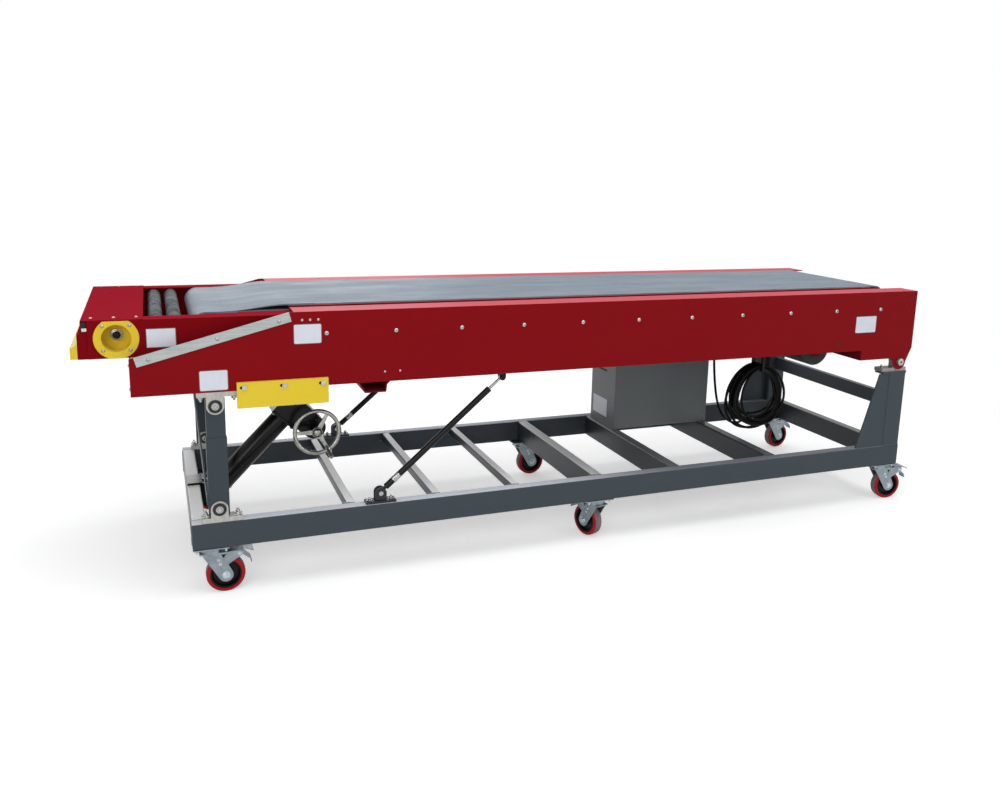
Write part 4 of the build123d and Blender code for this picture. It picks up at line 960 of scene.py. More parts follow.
# %% [markdown]
# ### Screws on the panels, strips, cups and nose cover
#
# The long row stands on both side panels at a pitch of 230 mm. Three more screws sit by the first label,
# and a close pair near the bottom edge holds the strut's bracket inside.

# %% Panel screws
panel_outside = side_face / mm
row_pitch, row_count, row_start, row_height = 230, 11, 438, 860
label_screws_x, label_screws_z = (361, 386, 412), 906
bracket_screws_x, bracket_screws_z = (629, 681), 721
panel_places = []
for side in (near, far):
    face_y, out = side * panel_outside, (0, side, 0)
    for index in range(row_count):
        panel_places.append((at(row_start + row_pitch * index, face_y, row_height), out, 8.5))
    for x in label_screws_x:
        panel_places.append((at(x, face_y, label_screws_z), out, 5.0))
    for x in bracket_screws_x:
        panel_places.append((at(x, face_y, bracket_screws_z), out, 4.5))
fasteners("panel_screws", button_head, panel_places, "belt_body", bright_steel)

# %% [markdown]
# These screws follow no pitch. Their places were read off the photograph one by one, so they are lists of
# (x, z), or of x where the screws lie flat on the nose cover. The strips and cups are alike on both sides
# of the machine. The cover also has one small red bump, which is a painted rivet.

# %% Strip, cup and cover screws
strip_screws, strip_thickness = ((-99.5, 801.3), (101, 856.8), (289.1, 904.5)), 3.0
cup_screws, cup_face_y = ((-222, 903.4), (-146, 903.4), (-223, 828.5), (-147, 828)), 396
strip_places, cup_places = [], []
for side in (near, far):
    for x, z in strip_screws:
        strip_places.append((at(x, side * (panel_outside + strip_thickness), z), (0, side, 0), 6.0))
    for x, z in cup_screws:
        cup_places.append((at(x, side * cup_face_y, z), (0, side, 0), 5.5))
fasteners("strip_screws", button_head, strip_places, "belt_body", bright_steel, seed=3)
fasteners("cup_screws", button_head, cup_places, "extension", bright_steel, seed=2)

cover_top = 921
near_row_y, near_row_x = -348, (-254, -190.6, -127)
far_row_y, far_row_x = 384, (-256, -193.5, -130)
cover_places = [(at(x, near_row_y, cover_top), up, 5.0) for x in near_row_x]
cover_places += [(at(x, far_row_y, cover_top), up, 5.0) for x in far_row_x]
fasteners("cover_screws", button_head, cover_places, "extension", bright_steel, seed=4)
cover_bump = [(at(-211, 199.5, cover_top), up, 6.0)]
fasteners("cover_bump", rivet_head, cover_bump, "extension", extension_red, seed=13)

# %% [markdown]
# ### Bolts at the legs' pins and feet
#
# Each pivot shows a bright bolt head on a dark washer, on both faces of its clevis. The pins' ends are in
# the CAD model, so the bolts sit on them and hide their plain ends. The washers are turned forms, and the
# heads are rows like the screws. The legs' feet stand on the base and their heads hang from the body, so
# the two ends are separate pieces, each on its own body.

# %% Pin bolts and washers
def ring_washer(shape, centre, out, outer, inner, thickness):
    """Adds a flat washer with softened edges."""
    soft = thickness * 0.3
    lathe(shape, ((inner, 0), (outer - soft, 0), (outer, soft), (outer, thickness - soft),
                  (outer - soft, thickness), (inner, thickness)), centre, out, 36, closed=True)


leg_x, leg_y, leg_foot_z, leg_head_z = 87, 410, 298, 641
clevis_half, washer_thickness = 22.5, 3.0
washers_and_bolts = (("leg_foot", leg_foot_z, "base_frame"), ("leg_head", leg_head_z, "belt_body"))
pin_bolts = {"leg_foot": [], "leg_head": []}
for name, height, body in washers_and_bolts:
    washers = bmesh.new()
    for side in (near, far):
        for face in (-1, 1):
            washer_y = side * leg_y + face * clevis_half
            bolt_y = washer_y + face * washer_thickness
            ring_washer(washers, at(leg_x, washer_y, height), (0, face, 0), 21.5, 8.5, washer_thickness)
            pin_bolts[name].append((at(leg_x, bolt_y, height), (0, face, 0), 12.0))
    piece(name + "_washers", washers, dark_steel, body)

strut_foot_x, strut_foot_z, strut_lug_half = 615, 289, 16.5
for side in (near, far):
    for face in (-1, 1):
        lug_place = at(strut_foot_x, side * leg_y + face * strut_lug_half, strut_foot_z)
        pin_bolts["leg_foot"].append((lug_place, (0, face, 0), 8.0))
fasteners("leg_foot_bolts", hex_head, pin_bolts["leg_foot"], "base_frame", bright_steel, seed=11)
fasteners("leg_head_bolts", hex_head, pin_bolts["leg_head"], "belt_body", bright_steel, seed=12)

# %% [markdown]
# The clevises' base plates are held by nuts on studs, and so are the gas struts' feet. They face up on the
# rails and down under the body. A direction on every point lets one head serve both ways.

# %% Nuts on the legs' plates and the struts' feet
foot_plate_top, head_plate_under, strut_plate_top = 270, 672, 263
plate_nuts_x, plate_nuts_off_y, strut_nuts_off_x = (45, 145), (14, -14), (-38, 38)
foot_nuts, head_nuts = [], []
for side in (near, far):
    for x in plate_nuts_x:
        for off_y in plate_nuts_off_y:
            y = side * (leg_y + off_y)
            foot_nuts.append((at(x, y, foot_plate_top), (0, 0, 1), 11.0))
            head_nuts.append((at(x, y, head_plate_under), (0, 0, -1), 11.0))
    for off_x in strut_nuts_off_x:
        foot_nuts.append((at(strut_foot_x + off_x, side * leg_y, strut_plate_top), (0, 0, 1), 9.5))
fasteners("foot_plate_nuts", nut_stud, foot_nuts, "base_frame", bright_steel, seed=14)
fasteners("head_plate_nuts", nut_stud, head_nuts, "belt_body", bright_steel, seed=15)

# %% [markdown]
# ### Rear pivots and the body's front end plates
#
# The rear clamp plates are held down by nuts on studs. The pin that the body tilts on ends, each side, in a
# turned rim with a hexagon socket in it. The socket is no cut but a thin dark hexagon, a profile spun in six
# steps, which is painted shade for the socket's inside. Two screws hold each yellow plate at the body's front
# end.

# %% Rear pivots and the body's front end plates
clamp_nuts_x, clamp_y, clamp_top = (2800, 2907), 405, 602
end_plate_x, end_screws_y, end_screws_z = -154, 412, (707, 782)
tilt_pin_x, tilt_pin_face_y, tilt_pin_z = 2870, 443.5, 628.5
rim_profile = ((4.6, 0), (4.6, 1.2), (5.4, 2.0), (12.6, 2.0), (14.4, 0.8), (14.4, 0))
socket_profile = ((0, 0.5), (4.6, 0.5), (4.6, 0), (0, 0))
pivot_bolts, end_screws = [], []
rims, shaded_sockets = bmesh.new(), bmesh.new()
for side in (near, far):
    for x in clamp_nuts_x:
        pivot_bolts.append((at(x, side * clamp_y, clamp_top), (0, 0, 1), 8.5))
    for z in end_screws_z:
        end_screws.append((at(end_plate_x, side * end_screws_y, z), (-1, 0, 0), 5.5))
    pin_face = at(tilt_pin_x, side * tilt_pin_face_y, tilt_pin_z)
    lathe(rims, rim_profile, pin_face, (0, side, 0), 36, closed=True)
    lathe(shaded_sockets, socket_profile, pin_face, (0, side, 0), 6)
fasteners("rear_pivot_bolts", nut_stud, pivot_bolts, "base_frame", bright_steel, seed=18)
fasteners("end_plate_screws", button_head, end_screws, "belt_body", bright_steel, seed=19)
piece("tilt_pin_rims", rims, clevis_steel, "base_frame")
piece("tilt_pin_sockets", shaded_sockets, dark_steel, "base_frame")

# %% [markdown]
# ### Castor plates
#
# Each castor hangs under the rail on a plate with four nuts. Which way a castor points at rest could be
# typed in, but reading it from the frame keeps the two in step: its wheel's middle trails behind its
# swivel, and the line between them gives the direction.

# %% Castor plates
castor_x = {"front": 57.5, "mid": 1464.0, "rear": 2858.5}
castor_y, plate_under = 390, 161
plate_nuts_off = ((-45, -30), (-45, 30), (45, -30), (45, 30))
plate_nuts = []
castor_frames = {}
for name in castor_names:
    row, side_name = name.split("_")
    side = near if side_name == "near" else far
    pivot = at(castor_x[row], side * castor_y, 0)
    low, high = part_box("castor_tyre_" + name)
    middle = Vector([(a + b) / 2 for a, b in zip(low, high)])
    lead = Vector((middle.x - pivot.x, middle.y - pivot.y, 0.0)).normalized()
    castor_frames[name] = (pivot, lead, Vector((-lead.y, lead.x, 0.0)))
    for off_x, off_y in plate_nuts_off:
        plate_nuts.append((pivot + Vector((off_x, off_y, plate_under)) * mm, (0, 0, -1), 8.5))
    print(name, "heading", round(degrees(atan2(lead.y, lead.x)), 1))
fasteners("castor_plate_nuts", nut_stud, plate_nuts, "base_frame", zinc_bolt, seed=13)

# %% [markdown]
# ## Castor wheels
#
# The wheel is a red polyurethane tyre on a black nylon centre. The tread is greyer than its sides, because
# it picks up the yard. A tyre is a turned form, so it is a profile spun about the axle: one profile for all
# six, with the tread band given its own finish. A disc with a raised rim closes each side of the centre.

# %% Tyres, axle bolts and fork screws
trail, wheel_radius, fork_face = 42, 62.5, 26.3
tyre_profile = ((50.0, -19.0), (56.0, -19.0), (58.5, -18.2), (61.6, -14.6), (62.3, -12.0), (62.5, -6.0),
                (62.5, 0.0), (62.5, 6.0), (62.3, 12.0), (61.6, 14.6), (58.5, 18.2), (56.0, 19.0),
                (50.0, 19.0))
disc_profile = ((18.5, 6.6), (43.0, 4.9), (43.0, 6.4), (40.5, 7.4), (22.0, 8.4), (18.5, 8.2))
tread_bands = slice(3, 9)
fork_screws = ((19.7, 116.7, 5.5), (25.8, 102.8, 5.5), (88.0, 133.8, 8.0))
for name, (pivot, lead, axle) in castor_frames.items():
    hub_centre = pivot + lead * trail * mm + Vector((0, 0, wheel_radius * mm))
    tyre = bmesh.new()
    bands = lathe(tyre, tyre_profile, hub_centre, axle, 64, closed=True)
    for band in bands[tread_bands]:
        for face in band:
            face.material_index = 1
    piece("castor_tread_" + name, tyre, (tyre_red, tread_grey), "wheel_" + name,
          replaced=("castor_tyre_" + name,))
    disc = bmesh.new()
    for face in (-1, 1):
        lathe(disc, disc_profile, hub_centre, axle * face, 48, closed=True)
    piece("castor_disc_" + name, disc, hub_black, "wheel_" + name)
    bolts = [(hub_centre + axle * face * fork_face * mm, axle * face, 13.0) for face in (-1, 1)]
    for behind, z, radius in fork_screws:        # how far behind the swivel, height, radius
        for face in (-1, 1):
            place = pivot + lead * behind * mm + axle * face * fork_face * mm + Vector((0, 0, z * mm))
            bolts.append((place, axle * face, radius))
    fasteners("castor_bolts_" + name, hex_head, bolts, "castor_" + name, zinc_bolt, seed=17)

# %% [markdown]
# ## Weld beads
#
# The base is welded from rectangular tube. A bead is a rippled fillet that follows a joint, so it is made
# by Geometry Nodes from the joint's own outline: the outline becomes a curve, the curve is cut into short
# even steps, and a round profile runs along it whose size wavers with a noise of fixed seed.

# %% Geometry Nodes: weld tree
def weld_tree():
    tree = bpy.data.node_groups.new("weld_bead", "GeometryNodeTree")
    for label, kind in (("Joint", "Geometry"), ("Bead Radius", "Float"), ("Step", "Float"),
                        ("Ripple", "Float"), ("Finish", "Material")):
        tree.interface.new_socket(label, in_out="INPUT", socket_type="NodeSocket" + kind)
    tree.interface.new_socket("Beads", in_out="OUTPUT", socket_type="NodeSocketGeometry")
    given, result = tree.nodes.new("NodeGroupInput"), tree.nodes.new("NodeGroupOutput")
    path = tree.nodes.new("GeometryNodeMeshToCurve")
    steps = add(tree, "GeometryNodeResampleCurve", mode="LENGTH")
    profile = add(tree, "GeometryNodeCurvePrimitiveCircle", Resolution=7)
    sweep = tree.nodes.new("GeometryNodeCurveToMesh")
    waver = add(tree, "ShaderNodeTexNoise", noise_dimensions="3D", Scale=260.0, Detail=1.0)
    size = add(tree, "ShaderNodeMapRange")
    size.inputs["From Min"].default_value, size.inputs["From Max"].default_value = 0.3, 0.7
    size.inputs["To Max"].default_value = 1.0
    smallest = math_node(tree, "SUBTRACT", 1.0, given.outputs["Ripple"])
    tree.links.new(smallest, size.inputs["To Min"])
    tree.links.new(waver.outputs["Fac"], size.inputs["Value"])
    real = tree.nodes.new("GeometryNodeRealizeInstances")
    coat = tree.nodes.new("GeometryNodeSetMaterial")
    for source, target in ((given.outputs["Joint"], path.inputs["Mesh"]),
                           (path.outputs[0], steps.inputs["Curve"]),
                           (given.outputs["Step"], steps.inputs["Length"]),
                           (given.outputs["Bead Radius"], profile.inputs["Radius"]),
                           (steps.outputs[0], sweep.inputs["Curve"]),
                           (profile.outputs[0], sweep.inputs["Profile Curve"]),
                           (size.outputs["Result"], sweep.inputs["Scale"]),
                           (sweep.outputs[0], real.inputs[0]),
                           (real.outputs[0], coat.inputs["Geometry"]),
                           (given.outputs["Finish"], coat.inputs["Material"]),
                           (coat.outputs[0], result.inputs[0])):
        tree.links.new(source, target)
    sweep.inputs["Fill Caps"].default_value = True
    return tree


weld_bead = weld_tree()
print(weld_bead.name, "has", len(weld_bead.nodes), "nodes")

# %% [markdown]
# A cross tube is welded to the rails all round its end: up one side, over its top, down the other and back
# below. The end tubes are wider and reach lower. The rear portal's posts are welded all round on top of the
# rails. An outline stands a fraction of a millimetre off the steel, so that the bead bulges out.

# %% Welds
def welds(name, loops, body, material, radius=2.6):
    """Beads along closed outlines, as one piece."""
    corners, edges = [], []
    for loop in loops:
        first = len(corners)
        corners += loop
        edges += [(first + index, first + (index + 1) % len(loop)) for index in range(len(loop))]
    mesh = bpy.data.meshes.new(name + "_joints")
    mesh.from_pydata(corners, edges, [])
    carrier = bpy.data.objects.new(name, mesh)
    bpy.context.scene.collection.objects.link(carrier)
    run_tree(weld_bead, carrier, {"Bead Radius": radius * mm, "Step": 3.5 * mm, "Ripple": 0.35,
                                  "Finish": material})
    for face in carrier.data.polygons:
        face.use_smooth = True
    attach(carrier, body)
    print(name, len(loops), "joints,", len(carrier.data.polygons), "faces")


rail_width, stand_off = 45, 0.6
rail_inside = panel_outside - rail_width
cross_tubes_x, tube_half, tube_low, tube_top = (503, 809, 1113, 1441.5, 1786, 2248), 15, 221, 254.5
end_tubes_x, end_tube_width, end_tube_low, end_tube_top = (0, 2871), 45, 168, 252
post_front, post_rear, post_foot_z = 2827, 2915, 255.5


def upright_outline(x0, x1, y, low, top):
    """The corners of an upright rectangle that faces the side."""
    return [at(x0, y, low), at(x0, y, top), at(x1, y, top), at(x1, y, low)]


joints = []
for x in cross_tubes_x:
    for side in (near, far):
        y = side * (rail_inside - stand_off)
        joints.append(upright_outline(x - tube_half, x + tube_half, y, tube_low, tube_top))
for x in end_tubes_x:
    for side in (near, far):
        y = side * (rail_inside - stand_off)
        joints.append(upright_outline(x, x + end_tube_width, y, end_tube_low, end_tube_top))
for side in (near, far):
    outer, inner = side * (panel_outside - 1), side * (rail_inside + 1)
    joints.append([at(x, y, post_foot_z) for x, y in ((post_front, outer), (post_front, inner),
                                                      (post_rear, inner), (post_rear, outer))])
welds("frame_welds", joints, "base_frame", frame_grey)

# %% [markdown]
# ## Labels and plates
#
# Three labels stand on each side panel, one on each extension side and one sheet on the control box. They
# are thin film with rounded corners and a grey printed border, and they stay blank.

# %% Blank labels
def label(name, centre, right, up, width, height, body, corner=6.0):
    """A printed border with a slightly smaller, slightly higher film on it."""
    border, film = bmesh.new(), bmesh.new()
    plate(border, centre, right, up, width, height, corner, 0.45, edge=0.15)
    plate(film, centre, right, up, width - 3.4, height - 3.4, corner - 1.7, 0.6, edge=0.1)
    piece(name + "_border", border, label_frame, body)
    piece(name + "_film", film, label_white, body)


panel_labels = ((333, 422, 828, 893), (43, 129, 692, 758), (2613, 2721, 763, 834))    # (x0, x1, z0, z1)
for side, side_name in ((near, "near"), (far, "far")):
    right = (-side, 0, 0)
    for index, (x0, x1, z0, z1) in enumerate(panel_labels):
        label("panel_label_%s_%d" % (side_name, index),
              at((x0 + x1) / 2, side * panel_outside, (z0 + z1) / 2),
              right, (0, 0, 1), x1 - x0, z1 - z0, "belt_body")
    label("extension_label_" + side_name, at(-59, side * 392, 860), right, (0, 0, 1), 86, 60,
          "extension", 3.0)
label("box_sheet", at(1809, 289, 332), (0, -1, 0), (0, 0, 1), 142, 85, "base_frame", 3.0)
print("labels are blank")

# %% [markdown]
# ## Control box
#
# The cabinet is folded sheet steel with a door on the far side, where an operator can reach it over the
# rail: a raised door on a dark gasket, two barrel hinges, a quarter-turn lock, and louvres to let heat out.
# The photograph doesn't show that side, so the door is a guess at what such cabinets have.

# %% Door, hinges, lock and louvres
door_right = (-1, 0, 0)
door_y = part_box("control_box")[1][1] / mm
door_x, door_z = 2051, 422
door, gasket = bmesh.new(), bmesh.new()
plate(gasket, at(door_x, door_y, door_z), door_right, up, 466, 318, 4.0, 1.6, edge=0.4)
plate(door, at(door_x, door_y, door_z), door_right, up, 458, 310, 5.0, 4.0, edge=1.2, start=0.8)
piece("box_gasket", gasket, black_rubber, "base_frame")
piece("box_door", door, box_grey, "base_frame")

hinge_pin_x, hinge_leaf_x, hinges_z = 2283, 2270, (330, 510)
hinge_profile = ((0, -22), (4.2, -22), (5.0, -21), (5.0, -1), (4.2, -0.4), (4.2, 0.4), (5.0, 1), (5.0, 21),
                 (4.2, 22), (0, 22))
hinges = bmesh.new()
for z in hinges_z:
    lathe(hinges, hinge_profile, at(hinge_pin_x, door_y + 4.2, z), up, 20)
    plate(hinges, at(hinge_leaf_x, door_y + 4.4, z), door_right, up, 24, 36, 3.0, 1.8, edge=0.5)
piece("box_hinges", hinges, zinc_steel, "base_frame")

lock_x = 1846
lock_profile = ((0, 2.4), (4.0, 2.4), (4.4, 5.6), (10.5, 5.6), (12.0, 4.4), (12.0, 0), (0, 0))
lock = bmesh.new()
lathe(lock, lock_profile, at(lock_x, door_y + 4.6, door_z), (0, 1, 0), 32)
plate(lock, at(lock_x, door_y + 7.0, door_z), door_right, up, 2.2, 7.6, 1.0, 1.4, edge=0.3)
piece("box_lock", lock, zinc_steel, "base_frame")

louvre_count, louvre_start, louvre_pitch, louvre_z = 9, 1930, 12, 330
blade = [(-3.4, -28), (3.4, -28), (3.4, 28), (-3.4, 28)]
crown = [(-0.4, -24), (3.0, -24), (3.0, 24), (-0.4, 24)]
louvres = bmesh.new()
for index in range(louvre_count):
    louvre_place = at(louvre_start + index * louvre_pitch, door_y + 4.8, louvre_z)
    stacked(louvres, ((blade, 0), (crown, 2.8)), louvre_place, door_right, up)
piece("box_louvres", louvres, box_grey, "base_frame")
print("door at y", round(door_y, 1), "mm with", louvre_count, "louvres")

# %% [markdown]
# High on the end that faces the front there is a slot for cables, and the near side has folded lips along
# its top and bottom, with a screw near each corner. They are thin plates laid on the CAD box, because a cut
# or a fold of a millimetre shows only by its edge. The slot is a black rubber plate with no opening in it,
# so its black is partly painted shade for the opening.

# %% Cable slot, folded lips and screws
box_front_x, box_near_y = 1809, 145
slot_shade = bmesh.new()
plate(slot_shade, at(box_front_x, 277, 506), (0, -1, 0), up, 88, 10, 4.6, 0.7, edge=0.2)
piece("box_slot", slot_shade, black_rubber, "base_frame")
lips = bmesh.new()
for z in (259, 586):
    plate(lips, at(door_x, box_near_y, z), (1, 0, 0), up, 478, 3.0, 1.2, 1.4, edge=0.6)
piece("box_fold_lips", lips, box_grey, "base_frame")
box_screws = [(at(x, box_near_y, z), (0, -1, 0), 4.5) for x in (1825, 2277) for z in (285, 560)]
fasteners("box_screws", button_head, box_screws, "base_frame", zinc_steel)

# %% [markdown]
# ## Nose, rollers and buttons
#
# A black rubber strip closes the gap below the cover's front end, with a white block at each end. The two
# steel rollers end in black bearing caps, which are spun from a profile and turn with their rollers.

# %% Nose strip and roller caps
strip, strip_back, blocks = bmesh.new(), bmesh.new(), bmesh.new()
plate(strip, at(-273, 0, 899), (1, 0, 0), (0, 1, 0), 18, 780, 4.0, 19.4, edge=2.0)
plate(strip_back, at(-270, 0, 880.2), (1, 0, 0), (0, 1, 0), 12, 776, 2.0, 18.6, edge=1.0)
for side in (near, far):
    plate(blocks, at(-271, side * 386.5, 893), (-side, 0, 0), up, 14, 10, 2.0, 4.6, edge=0.8)
piece("nose_rubber", strip, black_rubber, "extension")
piece("nose_rail", strip_back, extension_red, "extension")
piece("nose_blocks", blocks, white_plastic, "extension")

rollers_x, roller_end_y, roller_z = {"front": -73, "rear": -16}, 340, 891.5
cap_profile = ((0, 2.2), (9.0, 2.2), (9.6, 1.2), (17.0, 1.0), (19.4, 1.6), (21.4, 1.2), (21.8, 0.2),
               (21.8, -0.4), (0, -0.4))
for name, x in rollers_x.items():
    caps = bmesh.new()
    for side in (near, far):
        lathe(caps, cap_profile, at(x, side * roller_end_y, roller_z), (0, side, 0), 36)
    piece("roller_caps_" + name, caps, black_plastic, "nose_roller_" + name)
print("nose strip and", 2 * len(rollers_x), "roller caps")

# %% [markdown]
# Each yellow cup guards one push button, which has a chrome ring and a domed black cap. The CAD button is a
# plain plug, so the ring and the knob stand round and over it.

# %% Push buttons
button_x, button_y, button_z = -184.5, 343, 868
ring_profile = ((11.0, 6.0), (11.0, 12.0), (12.2, 12.6), (14.0, 12.0), (15.2, 10.0), (15.2, 7.0),
                (17.6, 6.4), (17.6, 0.0), (11.0, 0.0))
knob_profile = ((0, 23.6), (5.0, 23.2), (8.4, 22.4), (10.2, 20.6), (10.6, 18.0), (10.6, 8.0), (0, 8.0))
rings, knobs = bmesh.new(), bmesh.new()
for side in (near, far):
    centre = at(button_x, side * button_y, button_z)
    lathe(rings, ring_profile, centre, (0, side, 0), 40, closed=True)
    lathe(knobs, knob_profile, centre, (0, side, 0), 36)
piece("button_rings", rings, bright_steel, "extension")
piece("button_knobs", knobs, black_plastic, "extension")
print("a ring and a knob on each side")

# %% [markdown]
# ## Plugs and holes at the rear of the panels
#
# Near its rear end each panel has a painted plug and, further forward near the bottom edge, a small dark
# hole with a rubber lip. A hole this small needs no cut: a black dimple, painted shade for the hole, with a
# rim reads the same.

# %% Plugs and holes
plug_profile = ((0, 0.5), (5.6, 0.5), (6.4, 1.4), (9.0, 1.4), (9.8, 0.6), (9.8, 0), (0, 0))
hole_profile = ((0, 0.35), (4.6, 0.35), (5.2, 0.5), (6.2, 0.5), (6.4, 0.0), (0, 0))
plugs, shaded_holes = bmesh.new(), bmesh.new()
for side in (near, far):
    lathe(plugs, plug_profile, at(2871.5, side * panel_outside, 881), (0, side, 0), 32)
    lathe(shaded_holes, hole_profile, at(2535, side * panel_outside, 726), (0, side, 0), 28)
piece("panel_plugs", plugs, panel_red, "belt_body")
piece("panel_grommets", shaded_holes, black_rubber, "belt_body")
print("a plug and a hole on each panel")

# %% [markdown]
# ## Lifting gear
#
# The legs are lifted by a screw jack. Its gearbox is bolted to a square flange on the tube and closed by a
# circle of cap screws. The jack leans, so its places are given along its tube and across it, and one small
# function turns them into the frame's.

# %% Jack bolts
jack_foot, jack_head = (96.0, 216.0), (467.0, 600.0)
jack_run = Vector((jack_head[0] - jack_foot[0], 0, jack_head[1] - jack_foot[1]))
jack_reach = jack_run.length
jack_along = jack_run.normalized()
jack_across = Vector((-jack_along.z, 0, jack_along.x))
flange_along, flange_bolt_off = 350, 42
shaft_below_head, shaft_across = 131, -108
gearbox_face_y, wheel_y = -42, -100
circle_radius, circle_count, circle_start = 33, 6, 0.3


def on_jack(along, across, y):
    """A place by the jack: so far up its tube, so far off it in the upright plane, and its y."""
    place = jack_along * along + jack_across * across
    return at(jack_foot[0] + place.x, y, jack_foot[1] + place.z)


jack_bolts = []
for across in (-flange_bolt_off, flange_bolt_off):
    for y in (-flange_bolt_off, flange_bolt_off):
        jack_bolts.append((on_jack(flange_along, across, y), -jack_along, 8.0))
fasteners("jack_flange_bolts", hex_head, jack_bolts, "jack_upper", zinc_steel, seed=21)
shaft = on_jack(jack_reach - shaft_below_head, shaft_across, gearbox_face_y)
circle_places = []
for index in range(circle_count):
    angle = 2 * pi * index / circle_count + circle_start
    place = shaft + Vector((circle_radius * cos(angle), 0, circle_radius * sin(angle))) * mm
    circle_places.append((place, (0, -1, 0), 4.6))
fasteners("gearbox_screws", cap_head, circle_places, "jack_upper", dark_steel, seed=22)

# %% [markdown]
# The handwheel is polished steel, with a domed hub over the shaft's end and a handle on its rim. The handle
# swells towards its far end and has a collar there, which one profile spun about the handle's line shows.

# %% Handwheel hub and handle
wheel_centre = on_jack(jack_reach - shaft_below_head, shaft_across, wheel_y)
hub_face = wheel_centre + Vector((0, -9 * mm, 0))
dome_profile = ((0, 6.5), (5.0, 6.2), (9.5, 4.8), (12.6, 2.4), (14.0, 0.0), (14.0, -1.0), (0, -1.0))
collar_profile = ((14.0, 0), (18.4, 0), (19.6, 1.2), (19.6, 5.4), (18.4, 6.6), (14.0, 6.6))
hub = bmesh.new()
lathe(hub, dome_profile, hub_face, (0, -1, 0), 36)
lathe(hub, collar_profile, hub_face, (0, 1, 0), 40, closed=True)
piece("handwheel_hub", hub, handwheel_steel, "jack_handwheel")

grip_start, grip_end = at(486, -108, 372), at(494, -165, 349)
grip_length = (grip_end - grip_start).length / mm
grip_profile = ((0, -6), (4.6, -6), (4.6, 3.0), (6.4, 4.0), (6.8, 6.0), (5.8, 9.0), (6.0, 24.0), (6.8, 40.0),
                (7.2, grip_length - 14), (6.6, grip_length - 12), (7.6, grip_length - 9),
                (8.0, grip_length - 5), (6.8, grip_length - 1.6), (4.0, grip_length - 0.3), (0, grip_length))
grip = bmesh.new()
lathe(grip, grip_profile, grip_start, grip_end - grip_start, 32)
piece("handwheel_grip", grip, handwheel_steel, "jack_handwheel")
print("handle", round(grip_length), "mm long")

# %% [markdown]
# The gas struts are black, with one bright sleeve near the foot. It rides on the cylinder's body, so it
# swings with the strut.

# %% Strut sleeves
strut_along = Vector((0.755011, 0, 0.655712))
sleeve_profile = ((11.0, 60), (12.0, 61), (12.0, 69), (11.4, 70), (11.4, 84), (12.0, 85), (12.0, 89),
                  (11.0, 90))
sleeves = bmesh.new()
for side in (near, far):
    lathe(sleeves, sleeve_profile, at(strut_foot_x, side * leg_y, strut_foot_z), strut_along, 32, closed=True)
piece("strut_sleeves", sleeves, bright_steel, "strut_cylinders")
print("struts rise at", round(degrees(atan2(strut_along.z, strut_along.x)), 1), "degrees")

# %% [markdown]
# ## The supply cable
#
# The supply cable leaves a gland under the body, hangs down, and is stored as a coil on a hook: eleven
# millimetres thick, black, about eleven metres long, with all of its turns in it. The turns are gathered
# where they rest on the hook and fan out below, so each has a size of its own. It is one curve: the hanging
# lead's few points, then thirteen points for each turn.
#
# The turns lie in two layers of seven places side by side, filled in a mixed order as a hand would lay
# them. Each turn's half width and half height come from seeded dice. The ones that show most in the
# photograph, at the front, in the middle and at the end, are given one by one.

# %% Cable's turns
cable_diameter = 0.011
lead_points = ((2320, 150, 687), (2320, 150, 620), (2323, 150, 540), (2330, 147, 460), (2338, 140, 385),
               (2345, 122, 325), (2348, 88, 290), (2346, 40, 281), (2340, -10, 285), (2334, -50, 297),
               (2330, -84, 312), (2312, -103, 348))
coil_x, coil_y, coil_seat = 2379, -110, 568
turn_count, turn_points, slots, slot_pitch, layer_rise = 14, 13, 7, 11.5, 11
dice = Random(5)
turns_drawn = []
for index in range(turn_count + 1):
    layer, slot = index // slots, (5 + 3 * index) % slots
    wide = 112 + 26 * layer + dice.uniform(-7, 12)
    tall = 119 + 22 * layer + dice.uniform(-8, 11)
    turn_y = coil_y + (slot - slots // 2) * slot_pitch
    turns_drawn.append([wide, tall, turn_y, coil_seat + layer_rise * min(layer, 1)])
turns_drawn[0][:3] = [133, 134, coil_y + slot_pitch]
turns_drawn[turn_count // 2][:2] = [154, 152]
turns_drawn[turn_count - 1][:3] = [112, 120, coil_y + 3 * slot_pitch]
turns_drawn[turn_count][:] = [110, 118, coil_y + 47, coil_seat]
print(turn_count, "turns, half widths", [round(turn[0]) for turn in turns_drawn])

# %% [markdown]
# A turn keeps its own size for just over half of its way round and then changes smoothly into the next one.
# It is narrowed where it passes over the hook, and widened and spread across at the bottom, where nothing
# holds it.

# %% Cable's points
start_angle, joined_at_step, steps_cut_off = pi + 0.35, 2, 6
change_from = 0.55
gather_at_hook, bulge_below = 0.20, 0.10
spread_at_hook, spread_below = 0.8, 0.32
cable_points = [at(*point) for point in lead_points]
for step in range(joined_at_step, turn_count * turn_points - steps_cut_off + 1):
    turn_index, share = divmod(step / turn_points, 1.0)
    this, following = turns_drawn[int(turn_index)], turns_drawn[int(turn_index) + 1]
    late = eased(min(max((share - change_from) / (1 - change_from), 0.0), 1.0))
    wide, tall, y, top = [a + (b - a) * late for a, b in zip(this, following)]
    angle = start_angle + 2 * pi * step / turn_points
    lowness = 0.5 - 0.5 * cos(angle)
    gather = 1.0 - gather_at_hook * (0.5 + 0.5 * cos(angle))
    bulge = 1.0 + bulge_below * lowness
    cable_points.append(at(coil_x + wide * sin(angle) * gather * bulge,
                           coil_y + (y - coil_y) * (spread_at_hook + spread_below * lowness),
                           top - tall * (1 - cos(angle))))
plug_point = cable_points[-1]
plug_along = (cable_points[-1] - cable_points[-2]).normalized()
print(len(cable_points), "points, from", lead_points[0], "down to the plug")

# %% [markdown]
# A cable could be drawn as straight runs with rounded corners, but a real one has no straight runs and no
# corners. A NURBS spline of order 3 passes near its points and is smooth everywhere. Its order and its
# end points are set after the points are in, because set before they have no effect.

